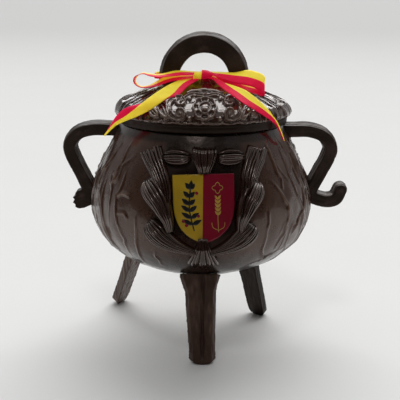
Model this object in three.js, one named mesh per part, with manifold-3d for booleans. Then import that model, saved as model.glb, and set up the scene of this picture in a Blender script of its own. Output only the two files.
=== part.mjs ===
// A dark chocolate cauldron: a solid cast belly with a wreath of reed sheaves and two
// scrolled side handles, a domed lid with a ring handle, three separately cast feet,
// a two-colour shield plaque and a ribbon bow round the foot of the ring.
//
// Millimetres, +Z up. While the pieces are shaped, the belly's axis is x = y = 0, the
// ground is z = 0 and the front faces -Y. At the end the whole group is moved so that
// its origin is the middle of its bounding box, on the ground.

import * as THREE from 'three';
import { mergeVertices } from 'three/addons/utils/BufferGeometryUtils.js';
import loadManifold from 'manifold-3d';

const wasm = await loadManifold();
wasm.setup();

// ---------------------------------------------------------------- driving dimensions

const CLEARANCE = 0.3; // left between pieces that touch

const BELLY = {
  offsetX: 0.5, // of its axis
  radius: 54.1, // widest
  widestZ: 70,
  bottomZ: 34.8,
  fullness: 2.1, // exponent of the rounded bottom
  slope: 0.628, // of the straight shoulder
  bend: 20, // how slowly the shoulder leaves the upright
  rimZ: 109.2,
  sides: 76,
  rowsBelow: 11,
  rowsAbove: 9,
};

// Low upright veins on the belly, and the flat field that the shield lies on.
const VEINS = { count: 19, height: 0.8, sway: 0.5, swayPitch: 17 };
const FIELD = { atZ: 66, depth: 51, lean: THREE.MathUtils.degToRad(9.1) };

const WREATH = { axisX: 0.7, sunk: 6, edge: 0.4, furrow: 0.2 }; // furrow is a share of the height

const LID = {
  offsetX: 0.9, // it sits a little to one side
  bottomZ: 109.5,
  radius: 42,
  rimTopZ: 115.2,
  shoulder: 38,
  topZ: 130,
  slope: 0.55,
  bend: 30,
  sides: 72,
  rings: 8,
};
const FIBRES = { count: 24, height: 0.9, from: 14, full: 24, panelHalfAngle: 0.72 };

// Scrollwork on the front of the lid, by plan position.
const SCROLLWORK = {
  beadRadius: 1.3,
  ovalY: -33.6,
  ovalRadius: 4.8,
  ovalSquash: 0.9,
  pearl: [2.3, 2.1, 1.8],
  spiralAt: [11.2, -33],
  spiralOuter: 4.6,
  spiralInner: 1.5,
  spiralTurns: 1.3,
  leafAt: [19, -30],
  leafSize: [1.6, 5, 1.4],
  leafTurn: 0.5,
  arch: [[-9, -21.5], [-5, -24.6], [0, -23.4], [5, -24.6], [9, -21.5]],
};

const RING = { x: 0.2, z: 131, outer: 21.9, inner: 12.8, depth: 8, bevel: 1.4, footZ: 124 };

const HANDLE = { width: 7.3, depth: 8, bevel: 1.5, leftReach: 0.3, jagBevel: 0.3 };

const FOOT = {
  backTop: 14.2, // width of the flat back at the belly
  backSole: 11.4,
  flare: 1.8, // extra half width of the shoulder
  flareHeight: 7,
  thick: 5,
  draft: 1.8, // each side leans in by this towards the grooved face
  groove: 1.6,
  grooveHalfWidth: 1.5,
  grooveShare: 0.5, // of the half width, which the groove never passes
  corner: 3.2, // radius of the sole's corners
  reach: 40, // height at which it meets the belly
  length: 56, // before the belly is cut from it
};

const SHIELD = {
  width: 27.4,
  height: 30.8,
  straight: 0.42, // share of the height with upright sides
  thick: 2,
  bevel: 0.5,
  room: 10, // cleared in front of it
  x: 1.3,
  topZ: 92.6,
  turn: -0.035,
};

const RIBBON = { thick: 0.8, bandHeight: 2.2, bandClear: 1.2, bandCorner: 2.4 };
const KNOT = { at: [0.9, -9.8, 133.1], length: 8.6, halfHeight: 2, halfDepth: 4.9, corner: 1.9 };

// ---------------------------------------------------------------- materials

function finish(colour, roughness, metalness = 0) {
  return new THREE.MeshStandardMaterial({ color: colour, roughness, metalness });
}

const chocolate = () => finish(0x2a1d19, 0.3);
const glaze = () => finish(0xc9a526, 0.2);
const satin = () => finish(0xc8102e, 0.45);

// ---------------------------------------------------------------- solids from geometry

// Closes a geometry by merging its vertices and dropping triangles that collapse.
function toSolid(geometry) {
  const bare = new THREE.BufferGeometry();
  bare.setAttribute('position', geometry.getAttribute('position'));
  bare.setIndex(geometry.getIndex());
  const merged = mergeVertices(bare, 1e-4);
  const corners = merged.getIndex().array;
  const kept = [];
  for (let i = 0; i < corners.length; i += 3) {
    const [a, b, c] = [corners[i], corners[i + 1], corners[i + 2]];
    if (a !== b && b !== c && c !== a) kept.push(a, b, c);
  }
  const mesh = new wasm.Mesh({
    numProp: 3,
    vertProperties: new Float32Array(merged.getAttribute('position').array),
    triVerts: new Uint32Array(kept),
  });
  return new wasm.Manifold(mesh);
}

function toMesh(solid, name, material) {
  const mesh = solid.getMesh();
  const geometry = new THREE.BufferGeometry();
  geometry.setAttribute('position', new THREE.BufferAttribute(mesh.vertProperties, 3));
  geometry.setIndex(new THREE.BufferAttribute(mesh.triVerts, 1));
  const node = new THREE.Mesh(geometry, material);
  node.name = name;
  return node;
}

// A solid whose faces point out, whichever way the geometry was turned.
function outward(geometry) {
  const solid = toSolid(geometry);
  if (solid.volume() > 0) return solid;
  const index = geometry.getIndex();
  for (let i = 0; i < index.count; i += 3) {
    const [a, c] = [index.getX(i), index.getX(i + 2)];
    index.setX(i, c);
    index.setX(i + 2, a);
  }
  return toSolid(geometry);
}

function joined(solids) {
  return solids.reduce((whole, solid) => whole.add(solid));
}

// Moves every vertex of a geometry to place(vertex).
function reshape(geometry, place) {
  const position = geometry.getAttribute('position');
  const vertex = new THREE.Vector3();
  for (let i = 0; i < position.count; i += 1) {
    const moved = place(vertex.fromBufferAttribute(position, i));
    position.setXYZ(i, moved.x, moved.y, moved.z);
  }
  return geometry;
}

// An outline in X and Z, thickened evenly to both sides of the plane y = 0.
function slab(shape, depth, bevel) {
  const geometry = new THREE.ExtrudeGeometry(shape, {
    depth: depth - 2 * bevel,
    bevelThickness: bevel,
    bevelSize: bevel,
    bevelOffset: -bevel,
    bevelSegments: 1,
    curveSegments: 12,
  });
  geometry.translate(0, 0, bevel - depth / 2);
  geometry.rotateX(Math.PI / 2);
  return geometry;
}

const smooth = (x, from, to) => THREE.MathUtils.smoothstep(x, from, to);

// ---------------------------------------------------------------- belly

// Radius of the belly at a height: a rounded bottom and a long straight shoulder.
function bellyRadius(z) {
  if (z >= BELLY.widestZ) {
    return BELLY.radius - BELLY.slope * (Math.hypot(BELLY.bend, z - BELLY.widestZ) - BELLY.bend);
  }
  const drop = Math.min((BELLY.widestZ - z) / (BELLY.widestZ - BELLY.bottomZ), 1);
  return BELLY.radius * (1 - drop ** BELLY.fullness) ** (1 / BELLY.fullness);
}

// How far the flat field lies in front of the axis at a height.
function fieldDepth(z) {
  return FIELD.depth - (z - FIELD.atZ) * Math.tan(FIELD.lean);
}

function veinHeight(turn, z) {
  const sway = VEINS.sway * Math.sin(z / VEINS.swayPitch + 2 * turn);
  const crest = Math.max(0, Math.cos(VEINS.count * turn + sway * Math.PI)) ** 2;
  const sides = smooth(Math.abs(Math.sin(turn / 2)), 0.3, 0.5);
  return VEINS.height * crest * sides * smooth(z, 40, 50) * (1 - smooth(z, 98, 106));
}

// turn is 0 at the front and grows towards +X.
function bellyPoint(turn, z, lift = 0) {
  const radius = bellyRadius(z) + lift;
  return new THREE.Vector3(BELLY.offsetX + radius * Math.sin(turn), -radius * Math.cos(turn), z);
}

function bellyProfile() {
  const profile = [];
  const height = BELLY.widestZ - BELLY.bottomZ;
  for (let i = 0; i < BELLY.rowsBelow; i += 1) {
    const angle = (i / BELLY.rowsBelow) * (Math.PI / 2);
    const out = Math.sin(angle) ** (2 / BELLY.fullness);
    const down = Math.cos(angle) ** (2 / BELLY.fullness);
    profile.push(new THREE.Vector2(BELLY.radius * out, BELLY.widestZ - height * down));
  }
  for (let i = 0; i <= BELLY.rowsAbove; i += 1) {
    const z = THREE.MathUtils.lerp(BELLY.widestZ, BELLY.rimZ, i / BELLY.rowsAbove);
    profile.push(new THREE.Vector2(bellyRadius(z), z));
  }
  profile.push(new THREE.Vector2(0, BELLY.rimZ));
  return profile;
}

// The belly with its veins and its flat field, grown outwards by grow.
function bellySolid(grow = 0) {
  const geometry = new THREE.LatheGeometry(bellyProfile(), BELLY.sides);
  geometry.rotateX(Math.PI / 2);
  reshape(geometry, (v) => {
    const radius = Math.hypot(v.x, v.y);
    if (radius < 1) return v.setZ(v.z < BELLY.widestZ ? v.z - grow : v.z);
    const turn = Math.atan2(v.x, -v.y);
    let wanted = radius + veinHeight(turn, v.z);
    if (Math.cos(turn) > 0) wanted = Math.min(wanted, fieldDepth(v.z) / Math.cos(turn));
    const low = smooth(BELLY.widestZ - v.z, 0, BELLY.widestZ - BELLY.bottomZ);
    const scale = (wanted + grow) / radius;
    return v.set(v.x * scale, v.y * scale, v.z - grow * low);
  });
  return toSolid(geometry.translate(BELLY.offsetX, 0, 0));
}

// ---------------------------------------------------------------- wreath of reed sheaves

// A sheaf lies on the belly along root -> via -> tip, given as [x from the wreath's axis, z].
// It is a pillow whose top carries one ridge for each reed.
function sheafSolid({ root, via, tip, widths, height, reeds, side = 1, along = 7 }) {
  const spine = new THREE.QuadraticBezierCurve(
    new THREE.Vector2(...root),
    new THREE.Vector2(...via),
    new THREE.Vector2(...tip),
  );
  const across = new THREE.SplineCurve(widths.map((w, i) => new THREE.Vector2(i, w)));
  const geometry = new THREE.BoxGeometry(2, 1, 1, 2 * reeds, 1, along);
  reshape(geometry, (v) => {
    const t = v.z + 0.5;
    const centre = spine.getPoint(t);
    const tangent = spine.getTangent(t);
    const half = across.getPoint(t).y / 2;
    const x = WREATH.axisX + side * (centre.x + tangent.y * half * v.x);
    const z = centre.y - tangent.x * half * v.x;
    const ends = Math.sqrt(Math.max(0, 1 - (2 * t - 1) ** 6));
    const round = Math.sqrt(Math.max(0, 1 - v.x ** 2));
    const reedWave = 1 - WREATH.furrow * (1 + Math.cos(Math.PI * reeds * (v.x + 1)));
    const lift = v.y > 0 ? height * ends * round * reedWave - WREATH.edge : -WREATH.sunk;
    return v.copy(bellyPoint(Math.asin(x / bellyRadius(z)), z, lift));
  });
  return outward(geometry);
}

const SIDE_SHEAVES = [
  { root: [-16, 81], via: [-17.5, 94], tip: [-24, 104], widths: [5, 9, 11], height: 4.5, reeds: 4 },
  { root: [-14, 68], via: [-17.5, 80], tip: [-26, 90.5], widths: [4, 9, 9], height: 5.5, reeds: 4 },
  { root: [-3.5, 55.5], via: [-14, 63], tip: [-27, 71.5], widths: [4, 9, 9], height: 5.5, reeds: 4 },
];
const SPINDLE = {
  root: [-4.5, 99.6], via: [-11, 99.6], tip: [-17.5, 99.2], widths: [3, 7.5, 3], height: 3.6, reeds: 3,
};
const TOP_KNOB = {
  root: [0, 93], via: [0, 98], tip: [0, 104.5], widths: [8, 15.5, 9], height: 4.2, reeds: 5,
};
const BOTTOM_FAN = {
  root: [0, 62.5], via: [0, 56], tip: [0, 49.6], widths: [5, 15, 7], height: 4.6, reeds: 5,
};

function wreathSolids() {
  const paired = [...SIDE_SHEAVES, SPINDLE].flatMap((sheaf) => [
    sheafSolid(sheaf),
    sheafSolid({ ...sheaf, side: -1 }),
  ]);
  return [...paired, sheafSolid(TOP_KNOB), sheafSolid(BOTTOM_FAN)];
}

// ---------------------------------------------------------------- side handles

// The outline of a flat bar of even width along points [x, z], with a round far end.
function barOutline(points, width, steps, roundEnd) {
  const spine = new THREE.SplineCurve(points.map((p) => new THREE.Vector2(...p)));
  const half = width / 2;
  const left = [];
  const right = [];
  for (let i = 0; i <= steps; i += 1) {
    const at = spine.getPoint(i / steps);
    const normal = spine.getTangent(i / steps).rotateAround(new THREE.Vector2(), Math.PI / 2);
    left.push(at.clone().addScaledVector(normal, half));
    right.unshift(at.clone().addScaledVector(normal, -half));
  }
  const cap = roundEnd ? endArc(spine, half) : [];
  return new THREE.Shape([...left, ...cap, ...right]);
}

function endArc(spine, half) {
  const end = spine.getPoint(1);
  const angle = spine.getTangent(1).angle();
  const arc = [];
  for (let i = 1; i < 6; i += 1) {
    const a = angle + Math.PI / 2 - (i * Math.PI) / 6;
    arc.push(new THREE.Vector2(end.x + half * Math.cos(a), end.y + half * Math.sin(a)));
  }
  return arc;
}

const HANDLE_BAR = [
  [37, 105], [46, 105.4], [53.5, 105.3], [60.2, 102.8], [63.9, 97.6],
  [63, 92.4], [59.3, 84.8], [56.3, 78.6], [53.2, 72],
];
const HANDLE_SCROLL = [[49, 74.6], [57.5, 71.2], [63.3, 70], [67.6, 71.4], [69.7, 75.7]];

// The left scroll broke off: what is left is a stub with a jagged end.
const BROKEN_SCROLL = [
  [49, 78.2], [56.5, 75.3], [60.2, 74.4], [61.6, 72.9], [60.9, 71.9], [62.8, 71], [61.9, 69.9],
  [62.9, 68.3], [61.5, 67.6], [61.7, 66.3], [59.9, 65.3], [57.3, 65.7], [53.5, 67.4], [49, 70.6],
];

function handleSolids() {
  const bar = slab(barOutline(HANDLE_BAR, HANDLE.width, 22, false), HANDLE.depth, HANDLE.bevel);
  const scroll = slab(barOutline(HANDLE_SCROLL, HANDLE.width, 12, true), HANDLE.depth, HANDLE.bevel);
  const stub = new THREE.Shape(BROKEN_SCROLL.map((p) => new THREE.Vector2(...p)));
  const broken = slab(stub, HANDLE.depth, HANDLE.jagBevel);
  const right = [bar, scroll].map(toSolid);
  const left = [bar, broken].map((geometry) => toSolid(geometry).mirror([1, 0, 0]));
  return [...right, ...left.map((solid) => solid.translate([-HANDLE.leftReach, 0, 0]))];
}

function makePot() {
  const pot = joined([bellySolid(), ...wreathSolids(), ...handleSolids()]);
  return toMesh(pot.subtract(shieldRecess()), 'pot', chocolate());
}

// ---------------------------------------------------------------- lid

function lidTop(radius) {
  if (radius <= LID.shoulder) {
    return LID.topZ - LID.slope * (Math.hypot(LID.bend, radius) - LID.bend);
  }
  const out = Math.min((radius - LID.shoulder) / (LID.radius - LID.shoulder), 1);
  const shoulderZ = lidTop(LID.shoulder);
  return LID.rimTopZ + (shoulderZ - LID.rimTopZ) * Math.sqrt(1 - out ** 2);
}

function lidProfile() {
  const profile = [new THREE.Vector2(0, LID.bottomZ), new THREE.Vector2(LID.radius, LID.bottomZ)];
  for (let i = 0; i <= 3; i += 1) {
    const angle = (i / 3) * (Math.PI / 2);
    const radius = LID.shoulder + (LID.radius - LID.shoulder) * Math.cos(angle);
    profile.push(new THREE.Vector2(radius, lidTop(radius)));
  }
  for (let i = 1; i <= LID.rings; i += 1) {
    const radius = LID.shoulder * (1 - i / LID.rings);
    profile.push(new THREE.Vector2(radius, lidTop(radius)));
  }
  return profile;
}

// Straw-like ridges that run down the lid, left out of the smooth panel at the front.
function fibreHeight(turn, radius) {
  const crest = Math.max(0, Math.cos(FIBRES.count * turn + Math.sin(radius / 6))) ** 2;
  const panel = smooth(Math.abs(turn), FIBRES.panelHalfAngle, FIBRES.panelHalfAngle + 0.1);
  return FIBRES.height * crest * panel * smooth(radius, FIBRES.from, FIBRES.full);
}

function lidBody() {
  const geometry = new THREE.LatheGeometry(lidProfile(), LID.sides);
  geometry.rotateX(Math.PI / 2);
  reshape(geometry, (v) => {
    const radius = Math.hypot(v.x, v.y);
    if (v.z < LID.rimTopZ || radius < FIBRES.from) return v;
    const lift = fibreHeight(Math.atan2(v.x, -v.y), radius);
    return v.setZ(v.z + (radius < LID.radius - 1 ? lift : 0));
  });
  return toSolid(geometry);
}

// A point on the lid above plan position (x, y), lifted off it.
function onLid(x, y, lift = 0) {
  return new THREE.Vector3(x, y, lidTop(Math.hypot(x, y)) + lift);
}

// A round bead of chocolate along plan points on the lid.
function bead(planPoints, radius, steps) {
  const path = new THREE.CatmullRomCurve3(planPoints.map(([x, y]) => onLid(x, y)));
  const section = new THREE.Shape().absarc(0, 0, radius, 0, 2 * Math.PI);
  return new THREE.ExtrudeGeometry(section, { extrudePath: path, steps, curveSegments: 3 });
}

function spiralPoints(side) {
  const [centreX, centreY] = SCROLLWORK.spiralAt;
  const count = 12;
  const points = [];
  for (let i = 0; i <= count; i += 1) {
    const angle = -Math.PI / 2 + (i / count) * SCROLLWORK.spiralTurns * 2 * Math.PI;
    const radius = THREE.MathUtils.lerp(SCROLLWORK.spiralOuter, SCROLLWORK.spiralInner, i / count);
    points.push([side * (centreX + radius * Math.cos(angle)), centreY + radius * Math.sin(angle)]);
  }
  return points;
}

function boss(x, y, size, turn) {
  const geometry = new THREE.SphereGeometry(1, 10, 6);
  geometry.scale(...size);
  geometry.rotateZ(turn);
  const at = onLid(x, y);
  geometry.translate(at.x, at.y, at.z);
  return geometry;
}

// Plain scrollwork on the front of the lid: an oval with a bead in it, a pair of
// spirals, a pair of leaves and an arch above them.
function scrollSolids() {
  const { beadRadius, ovalY, leafAt, leafSize, leafTurn } = SCROLLWORK;
  const oval = new THREE.TorusGeometry(SCROLLWORK.ovalRadius, beadRadius, 6, 16);
  reshape(oval, ({ x, y, z }) => onLid(x, ovalY + y * SCROLLWORK.ovalSquash, z));
  const shapes = [oval, boss(0, ovalY, SCROLLWORK.pearl, 0)];
  for (const side of [-1, 1]) {
    shapes.push(bead(spiralPoints(side), beadRadius, 20));
    shapes.push(boss(side * leafAt[0], leafAt[1], leafSize, side * leafTurn));
  }
  shapes.push(bead(SCROLLWORK.arch, beadRadius, 10));
  return shapes.map(toSolid);
}

function ringSolid() {
  const shape = new THREE.Shape();
  shape.moveTo(RING.outer, RING.footZ - RING.z);
  shape.absarc(0, 0, RING.outer, 0, Math.PI);
  shape.lineTo(-RING.outer, RING.footZ - RING.z);
  shape.lineTo(-RING.inner, RING.footZ - RING.z);
  shape.absarc(0, 0, RING.inner, Math.PI, 0, true);
  shape.lineTo(RING.inner, RING.footZ - RING.z);
  return toSolid(slab(shape, RING.depth, RING.bevel)).translate([RING.x, 0, RING.z]);
}

function makeLid() {
  const lid = joined([lidBody(), ringSolid(), ...scrollSolids()]);
  const node = toMesh(lid, 'lid', chocolate());
  node.position.x = LID.offsetX;
  return node;
}

// ---------------------------------------------------------------- feet

// Half width of the foot's flat back at a height above the sole.
function footHalfWidth(height) {
  const taper = THREE.MathUtils.lerp(FOOT.backSole, FOOT.backTop, Math.min(height / FOOT.reach, 1)) / 2;
  const flare = FOOT.flare * smooth(height, FOOT.reach - FOOT.flareHeight, FOOT.reach);
  const inside = Math.min(height / FOOT.corner, 1);
  const corner = FOOT.corner * (1 - Math.sqrt(1 - (1 - inside) ** 2));
  return taper + flare - corner;
}

// A cast bar with a flat back, drafted sides and a grooved face. Here x runs across it,
// y from the back (0) to the face and z up from the sole.
function footBar() {
  const middle = 2; // the column of the groove
  const columns = 5;
  const up = [0, 0.6, 1.6, FOOT.corner, 10, 18, 26, 33, 36, FOOT.reach, FOOT.length];
  const geometry = new THREE.BoxGeometry(1, 1, 1, columns - 1, 1, up.length - 1);
  return reshape(geometry, (v) => {
    const column = Math.round((v.x + 0.5) * (columns - 1)) - middle;
    const height = up[Math.round((v.z + 0.5) * (up.length - 1))];
    const face = v.y > 0;
    const half = footHalfWidth(height) - (face ? FOOT.draft : 0);
    const groove = column === 0 ? FOOT.groove * smooth(height, 1, 5) : 0;
    const inner = Math.min(FOOT.grooveHalfWidth, half * FOOT.grooveShare);
    const x = Math.sign(column) * (Math.abs(column) === 1 ? inner : half);
    return v.set(x, face ? FOOT.thick - groove : 0, height);
  });
}

// Each foot stands with the inner edge of its sole on the ground at `at`, faces `azimuth`
// and leans so that it passes over the plan point `top` at the height where it meets the belly.
const FEET = [
  { name: 'leg_front', at: [1.7, -39], azimuth: -88, top: [0.5, -31], flatSole: true },
  { name: 'leg_right', at: [31.2, 23.9], azimuth: 42, top: [22, 19.7] },
  { name: 'leg_left', at: [-43.4, 41.6], azimuth: 154, top: [-30, 25] },
];

function footSolid({ at, azimuth, top, flatSole }) {
  const facing = THREE.MathUtils.degToRad(azimuth);
  const out = new THREE.Vector3(Math.cos(facing), Math.sin(facing), 0);
  const acrossAxis = new THREE.Vector3(-out.y, out.x, 0);
  const up = new THREE.Vector3(top[0] - at[0], top[1] - at[1], FOOT.reach).divideScalar(FOOT.reach);
  const lean = Math.atan(-up.dot(out));
  const thickness = out.clone().multiplyScalar(Math.cos(lean));
  thickness.z = flatSole ? 0 : Math.sin(lean);
  const frame = new THREE.Matrix4().makeBasis(acrossAxis.negate(), thickness, up);
  frame.setPosition(at[0], at[1], 0);
  return toSolid(footBar().applyMatrix4(frame));
}

function makeFeet() {
  const room = bellySolid(CLEARANCE).add(sheafSolid(BOTTOM_FAN));
  return FEET.map((foot) => toMesh(footSolid(foot).subtract(room), foot.name, chocolate()));
}

// ---------------------------------------------------------------- shield plaque

// The plaque's outline, grown by grow, with its top edge at z = 0.
function shieldShape(grow = 0) {
  const half = SHIELD.width / 2 + grow;
  const tip = -SHIELD.height - grow;
  const straight = SHIELD.height * SHIELD.straight;
  const shape = new THREE.Shape();
  shape.moveTo(-half, grow);
  shape.lineTo(-half, -straight);
  shape.bezierCurveTo(-half, -straight - 9, -half * 0.66, tip + 1.6, 0, tip);
  shape.bezierCurveTo(half * 0.66, tip + 1.6, half, -straight - 9, half, -straight);
  shape.lineTo(half, grow);
  return shape;
}

// The frame of the plaque: its top edge on the flat field, leaning back with it.
function shieldFrame() {
  const frame = new THREE.Object3D();
  frame.position.set(SHIELD.x, -fieldDepth(SHIELD.topZ), SHIELD.topZ);
  frame.rotation.set(-FIELD.lean, SHIELD.turn, 0);
  return frame;
}

// What is cut away for the plaque: a shallow seat and the room in front of it.
function shieldRecess() {
  const geometry = slab(shieldShape(CLEARANCE), SHIELD.room, 0);
  geometry.translate(0, CLEARANCE - SHIELD.room / 2, 0);
  const frame = shieldFrame();
  frame.updateMatrix();
  return toSolid(geometry.applyMatrix4(frame.matrix));
}

function makeShield() {
  const geometry = slab(shieldShape(), SHIELD.thick, SHIELD.bevel);
  geometry.translate(0, -SHIELD.thick / 2, 0);
  const node = toMesh(toSolid(geometry), 'shield', glaze());
  const frame = shieldFrame();
  node.position.copy(frame.position);
  node.rotation.copy(frame.rotation);
  return node;
}

// ---------------------------------------------------------------- ribbon bow

// A strip of ribbon between two edges, given as matching lists of points.
function strip(upperEdge, lowerEdge, steps) {
  const upper = new THREE.CatmullRomCurve3(upperEdge.map((p) => new THREE.Vector3(...p)));
  const lower = new THREE.CatmullRomCurve3(lowerEdge.map((p) => new THREE.Vector3(...p)));
  const geometry = new THREE.BoxGeometry(1, 1, 1, 2, 1, steps);
  const along = new THREE.Vector3();
  reshape(geometry, (v) => {
    const t = v.z + 0.5;
    const [a, b] = [upper.getPoint(t), lower.getPoint(t)];
    along.addVectors(upper.getTangent(t), lower.getTangent(t));
    const normal = new THREE.Vector3().subVectors(b, a).cross(along).normalize();
    const centre = a.lerp(b, v.x + 0.5);
    return v.copy(centre.addScaledVector(normal, v.y * RIBBON.thick));
  });
  return outward(geometry);
}

const LEFT_LOOP = {
  upper: [
    [-1, -6.2, 133.6], [-5, -5.4, 133.9], [-10.8, -5.4, 134.1], [-17.3, -5.4, 133], [-24, -5.4, 132.4],
    [-28.4, -5.4, 132.8], [-31.2, -5.4, 129.8], [-29.4, -5.4, 126.6], [-26, -5.4, 126.6],
    [-20.6, -5.4, 129], [-13, -5.4, 131.4], [-5.3, -5.8, 131.9], [-1, -6.6, 132.2],
  ],
  lower: [
    [-1, -13.6, 133], [-4.3, -14.2, 133], [-10.5, -14.6, 133.4], [-16.5, -14.6, 132.6],
    [-23, -14.6, 133], [-27.8, -14.6, 133.8], [-30.7, -14.6, 130.8], [-28.8, -14.6, 127.2],
    [-25.4, -14.6, 126.9], [-20.1, -14.6, 128.4], [-12.8, -14.6, 129.8],
    [-5.2, -14.2, 131.5], [-1, -13.6, 132],
  ],
};
const RIGHT_LOOP = {
  upper: [
    [2, -6.4, 133.6], [7, -5.8, 133.6], [14, -5.8, 133.5], [22, -5.8, 134.7], [27.1, -5.8, 133.4],
    [30.3, -5.6, 131], [29, -5.4, 129.8], [23, -5.4, 131.8], [14, -5.4, 131.8],
    [7, -6, 131.9], [2, -6.8, 132.1],
  ],
  lower: [
    [2, -13.8, 132.6], [6.1, -14.2, 131.9], [12, -14.6, 130.2], [21.8, -14.2, 126.9], [26.4, -13.8, 125.2],
    [30, -13, 125], [29, -11.4, 125.6], [23, -11.8, 127], [13, -12.4, 129.2],
    [6, -12.8, 130.8], [2, -13.4, 131.6],
  ],
};
const LEFT_TAIL = {
  upper: [
    [-2, -7.6, 132.8], [-9.1, -15, 130.3], [-15.1, -21.5, 128.5], [-19.8, -27, 127.2],
    [-27.2, -31, 122], [-34.6, -30, 118.2], [-40, -26.5, 111.4], [-44.8, -21.4, 105.4],
  ],
  lower: [
    [-1, -13.6, 131.8], [-6.9, -21, 128.7], [-10.9, -27, 126.4], [-15.8, -32.5, 124.2],
    [-24.2, -36.5, 120], [-33, -34, 115], [-38.5, -29.5, 109.9], [-44.4, -22.6, 104.2],
  ],
};
const RIGHT_TAIL = {
  upper: [
    [5, -7.4, 132.2], [14.1, -13.5, 129.6], [19, -20, 127.4], [22.8, -24.5, 125.1],
    [27.2, -27.4, 122.6], [31.1, -28.4, 118.9], [35, -26.9, 112.8], [37.3, -24, 108.3], [39.4, -21, 103.2],
  ],
  lower: [
    [3, -13.4, 131.8], [8.2, -21.5, 129.9], [12.5, -29.4, 126.4], [18.7, -35, 122.6],
    [25.3, -38, 119.6], [30.7, -36.6, 116], [33.8, -35, 114.2], [36.3, -31.4, 109.7], [38.5, -28, 104.7],
  ],
};

// The part of the ribbon that goes round both feet of the ring.
function bandSolid() {
  const grown = RIBBON.bandClear;
  const [halfX, halfY] = [RING.outer + grown, RING.depth / 2 + grown];
  const outline = (inset) => roundedBox(halfX - inset, halfY - inset, RIBBON.bandCorner - inset);
  const shape = outline(0);
  shape.holes.push(outline(RIBBON.thick));
  const depth = RIBBON.bandHeight;
  const geometry = new THREE.ExtrudeGeometry(shape, { depth, bevelEnabled: false, curveSegments: 3 });
  geometry.translate(LID.offsetX + RING.x, 0, LID.topZ + 2 * CLEARANCE);
  return toSolid(geometry);
}

function roundedBox(halfX, halfY, radius) {
  const shape = new THREE.Shape();
  const [x, y] = [halfX - radius, halfY - radius];
  shape.absarc(x, y, radius, 0, Math.PI / 2);
  shape.absarc(-x, y, radius, Math.PI / 2, Math.PI);
  shape.absarc(-x, -y, radius, Math.PI, 1.5 * Math.PI);
  shape.absarc(x, -y, radius, 1.5 * Math.PI, 2 * Math.PI);
  return shape;
}

function knotSolid() {
  const [x, y, z] = KNOT.at;
  const outline = roundedBox(KNOT.halfHeight, KNOT.halfDepth, KNOT.corner);
  const geometry = new THREE.ExtrudeGeometry(outline, {
    depth: KNOT.length,
    bevelEnabled: false,
    curveSegments: 3,
  });
  geometry.rotateY(Math.PI / 2);
  geometry.translate(x - KNOT.length / 2, y, z);
  return toSolid(geometry);
}

function makeBow() {
  const loops = [LEFT_LOOP, RIGHT_LOOP].map(({ upper, lower }) => strip(upper, lower, 20));
  const tails = [LEFT_TAIL, RIGHT_TAIL].map(({ upper, lower }) => strip(upper, lower, 12));
  return toMesh(joined([knotSolid(), bandSolid(), ...loops, ...tails]), 'ribbon_bow', satin());
}

// ---------------------------------------------------------------- the whole cauldron

const cauldron = new THREE.Group();
cauldron.add(makePot(), makeLid(), ...makeFeet(), makeShield(), makeBow());
const middle = new THREE.Box3().setFromObject(cauldron).getCenter(new THREE.Vector3());
cauldron.position.set(-middle.x, -middle.y, 0);

export default cauldron;
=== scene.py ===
"""Looks of a dark chocolate cauldron with a wreath, a two-colour plaque and a tied satin ribbon.

Shapes are worked out in millimetres about the upright axis of the cauldron's belly, with the
front facing -Y and the ground at z = 0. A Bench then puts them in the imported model's frame.
"""

from __future__ import annotations

import logging
import math
from dataclasses import dataclass, field, replace
from enum import Enum
from typing import Iterable, Sequence

import bmesh
import bpy
import numpy as np
from mathutils import Matrix, Vector


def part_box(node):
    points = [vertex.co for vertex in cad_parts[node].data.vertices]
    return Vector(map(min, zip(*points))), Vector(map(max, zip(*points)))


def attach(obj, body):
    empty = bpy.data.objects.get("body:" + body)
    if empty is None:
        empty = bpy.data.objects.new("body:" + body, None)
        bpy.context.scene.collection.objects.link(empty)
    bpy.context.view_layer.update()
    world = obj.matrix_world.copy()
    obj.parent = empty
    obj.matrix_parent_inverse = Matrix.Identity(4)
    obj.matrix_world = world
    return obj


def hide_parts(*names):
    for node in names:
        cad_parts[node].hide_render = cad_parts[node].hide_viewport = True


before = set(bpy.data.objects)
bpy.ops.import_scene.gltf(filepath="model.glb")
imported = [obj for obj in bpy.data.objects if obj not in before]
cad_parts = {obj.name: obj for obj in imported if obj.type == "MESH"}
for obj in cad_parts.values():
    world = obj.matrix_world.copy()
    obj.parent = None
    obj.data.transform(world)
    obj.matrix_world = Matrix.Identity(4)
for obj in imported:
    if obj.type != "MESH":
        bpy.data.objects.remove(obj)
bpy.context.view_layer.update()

MM = 0.001
FULL_TURN = 2 * math.pi
LOG = logging.getLogger("cauldron")

Array = np.ndarray
Piece = bpy.types.Object
Material = bpy.types.Material
Point = tuple[float, float, float]
Colour = Point
Pair = tuple[float, float]


class Slot(Enum):
    """The record's material slots."""

    CHOCOLATE = "chocolate"
    PLAQUE = "plaque"
    RIBBON = "ribbon"


# ---------------------------------------------------------------- numbers on points


def smooth_step(x: Array, low: float, high: float) -> Array:
    """Rises smoothly from 0 where x is low to 1 where x is high."""
    t = np.clip((x - low) / (high - low), 0, 1)
    return t * t * (3 - 2 * t)


def hump(x: Array, width: float) -> Array:
    """A bell of height 1 at 0."""
    return np.exp(-((x / width) ** 2))


def xyz(x: Array | float, y: Array | float = 0.0, z: Array | float = 0.0) -> Array:
    """Joins coordinates, or numbers that hold for all, into an array of points."""
    return np.stack(np.broadcast_arrays(x, y, z), -1)


def unit(vectors: Array) -> Array:
    """Brings vectors to a length of 1."""
    return vectors / np.maximum(np.linalg.norm(vectors, axis=-1), 1e-9)[..., None]


def facing(sheet: Array) -> Array:
    """Unit normals of a grid of points."""
    return unit(np.cross(np.gradient(sheet, axis=0), np.gradient(sheet, axis=1)))


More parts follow.
